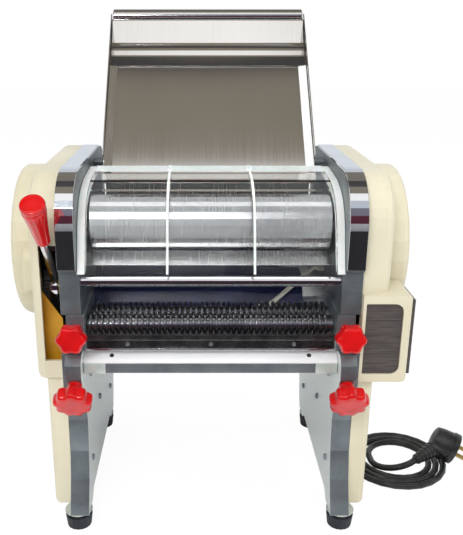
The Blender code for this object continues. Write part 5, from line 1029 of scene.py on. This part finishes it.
# %% Milky and painted highlight strips along the guard, and washers on the feet
GUARD_LINE = ((0.0045, 0.2655), (0.0092, 0.2777), (0.0140, 0.2900), (0.0168, 0.2985),
              (0.0200, 0.3065), (0.0265, 0.3178), (0.0355, 0.3270), (0.0500, 0.3338),
              (0.0660, 0.3395), (0.0920, 0.3416), (0.1180, 0.3435))
TOP_HIGHLIGHT_BAND = ((0.0960, 0.3419), (0.1060, 0.3426), (0.1180, 0.3435))
RIB_X = 0.0395
RIB_HALF = 0.0011
RIB_SHEET = 0.0013
FOOT_X = 0.1315
WASHER_LINE = ((0.0, 0.0120), (0.0001, 0.0134), (0.0004, 0.0137), (0.0010, 0.0137),
               (0.0013, 0.0134), (0.0014, 0.0120))
milky_and_highlight_strips = []
for x, half, stations, thickness in ((-RIB_X, RIB_HALF, GUARD_LINE, RIB_SHEET),
                                     (RIB_X, RIB_HALF, GUARD_LINE, RIB_SHEET),
                                     (0.0, 0.1139, TOP_HIGHLIGHT_BAND, 0.0007)):
    strip = ribbon("strip", half, stations, thickness)
    strip.data.transform(Matrix.Translation(place(x, 0, 0)))
    milky_and_highlight_strips.append(strip)
mounted(smooth(joined(milky_and_highlight_strips, "guard_milky_and_highlight_strips")), "guard", milky_plastic, "milky")
for word, x in (("left", -FOOT_X), ("right", FOOT_X)):
    for row, y in (("front", 0.0045), ("rear", 0.1985)):
        washer = lathe(row + "_" + word + "_foot_washer", WASHER_LINE, 36)
        washer.data.transform(pointed((0, 0, 1), place(x, y, 0.0160)))
        mounted(smooth(washer), "frame", sleeve_steel, "steel")

# %% [markdown]
# ## Inside of the lever slot
# The left cover is open where the lever swings. Behind the slot, in front of the gears, the cover's
# inside looks mustard, as light glows through it. Two thin blocks carry that painted glow and shade:
# one across the slot, whose upper edge slants down to the right, and one along the slot's side.

# %% Painted mustard glow behind the lever slot
LOW_CORNER = 0.2150
glow_card = block("lever_slot_painted_glow", place(-0.1585, 0.0240, 0.1700), place(-0.1400, 0.0252, 0.2430))
for vertex in glow_card.data.vertices:
    if vertex.co.x > -0.145 and vertex.co.z > 0.2:
        vertex.co.z = LOW_CORNER
side_glow_card = block("side glow card", place(-0.1612, 0.0135, 0.1640), place(-0.1602, 0.0350, 0.2850),
                    0.0003)
mounted(smooth(joined([glow_card, side_glow_card], "lever_slot_painted_glow")), "frame", mustard_painted_glow, "brass")

# %% [markdown]
# ## Plug
# The plug is an angled one: the lead enters from the side through a ribbed strain relief, a
# rounded body carries it, and a round face holds two pins. The pins have a brass colour, the rest
# is one black moulding. Its round parts are turned and then pointed along the lead or the face.

# %% Mains plug
PLUG_FACE = Vector((0.85, -0.30, -0.35)).normalized()
RELIEF_RIBS = 6
RELIEF_PITCH = 0.0047
RELIEF_TIP = 0.0046
RELIEF_GROWTH = 0.0036
FACE_LINE = ((-0.0120, 0.0118), (-0.0105, 0.0144), (-0.0040, 0.0158), (0.0085, 0.0168),
             (0.0088, 0.0178), (0.0145, 0.0179), (0.0150, 0.0175), (0.0150, 0.0158),
             (0.0142, 0.0154))
PIN_LINE = ((0.0, 0.0024), (0.0170, 0.0024), (0.0186, 0.0019), (0.0190, 0.0012))
PIN_START = 0.0145
PIN_SPREAD = 0.0095
relief_line = [(0.0, RELIEF_TIP)]
for rib in range(RELIEF_RIBS):
    start = 0.0012 + rib * RELIEF_PITCH
    grow = RELIEF_TIP + RELIEF_GROWTH * (start / RELIEF_LENGTH)
    relief_line += [(start, grow), (start + 0.0006, grow + 0.0010),
                    (start + 0.0026, grow + 0.0012), (start + 0.0031, grow + 0.0001)]
relief_line += [(0.0305, 0.0082), (0.0370, 0.0084), (0.0400, 0.0078)]
relief = lathe("relief", relief_line, 32)
relief.data.transform(pointed(plug_entry, place(*relief_tip)))
face = lathe("face", FACE_LINE, 56)
face.data.transform(pointed(PLUG_FACE, place(*plug_middle)))
side_way = plug_entry - PLUG_FACE * plug_entry.dot(PLUG_FACE)
side_way.normalize()
third = PLUG_FACE.cross(side_way).normalized()
body = block("body", (-0.0120, -0.0165, -0.0100), (0.0070, 0.0110, 0.0100), 0.0030, 3)
turn_by = Matrix((PLUG_FACE, side_way, third)).transposed().to_4x4()
body.data.transform(Matrix.Translation(place(*plug_middle)) @ turn_by)
black_body = smooth(joined([relief, face, body], "mains_plug"), 40)
mounted(black_body, "frame", black_plastic, "black", "plug")
across = PLUG_FACE.cross(Vector((0, 0, 1))).normalized()
pins = []
for side in (-1, 1):
    pin = lathe("pin", PIN_LINE, 20)
    pin.data.transform(pointed(PLUG_FACE, place(*plug_middle) + PLUG_FACE * PIN_START
                               + across * side * PIN_SPREAD))
    pins.append(pin)
plug_pins = mounted(smooth(joined(pins, "plug_pins"), 40), "frame", brass_metal, "brass")


bpy.context.view_layer.update()
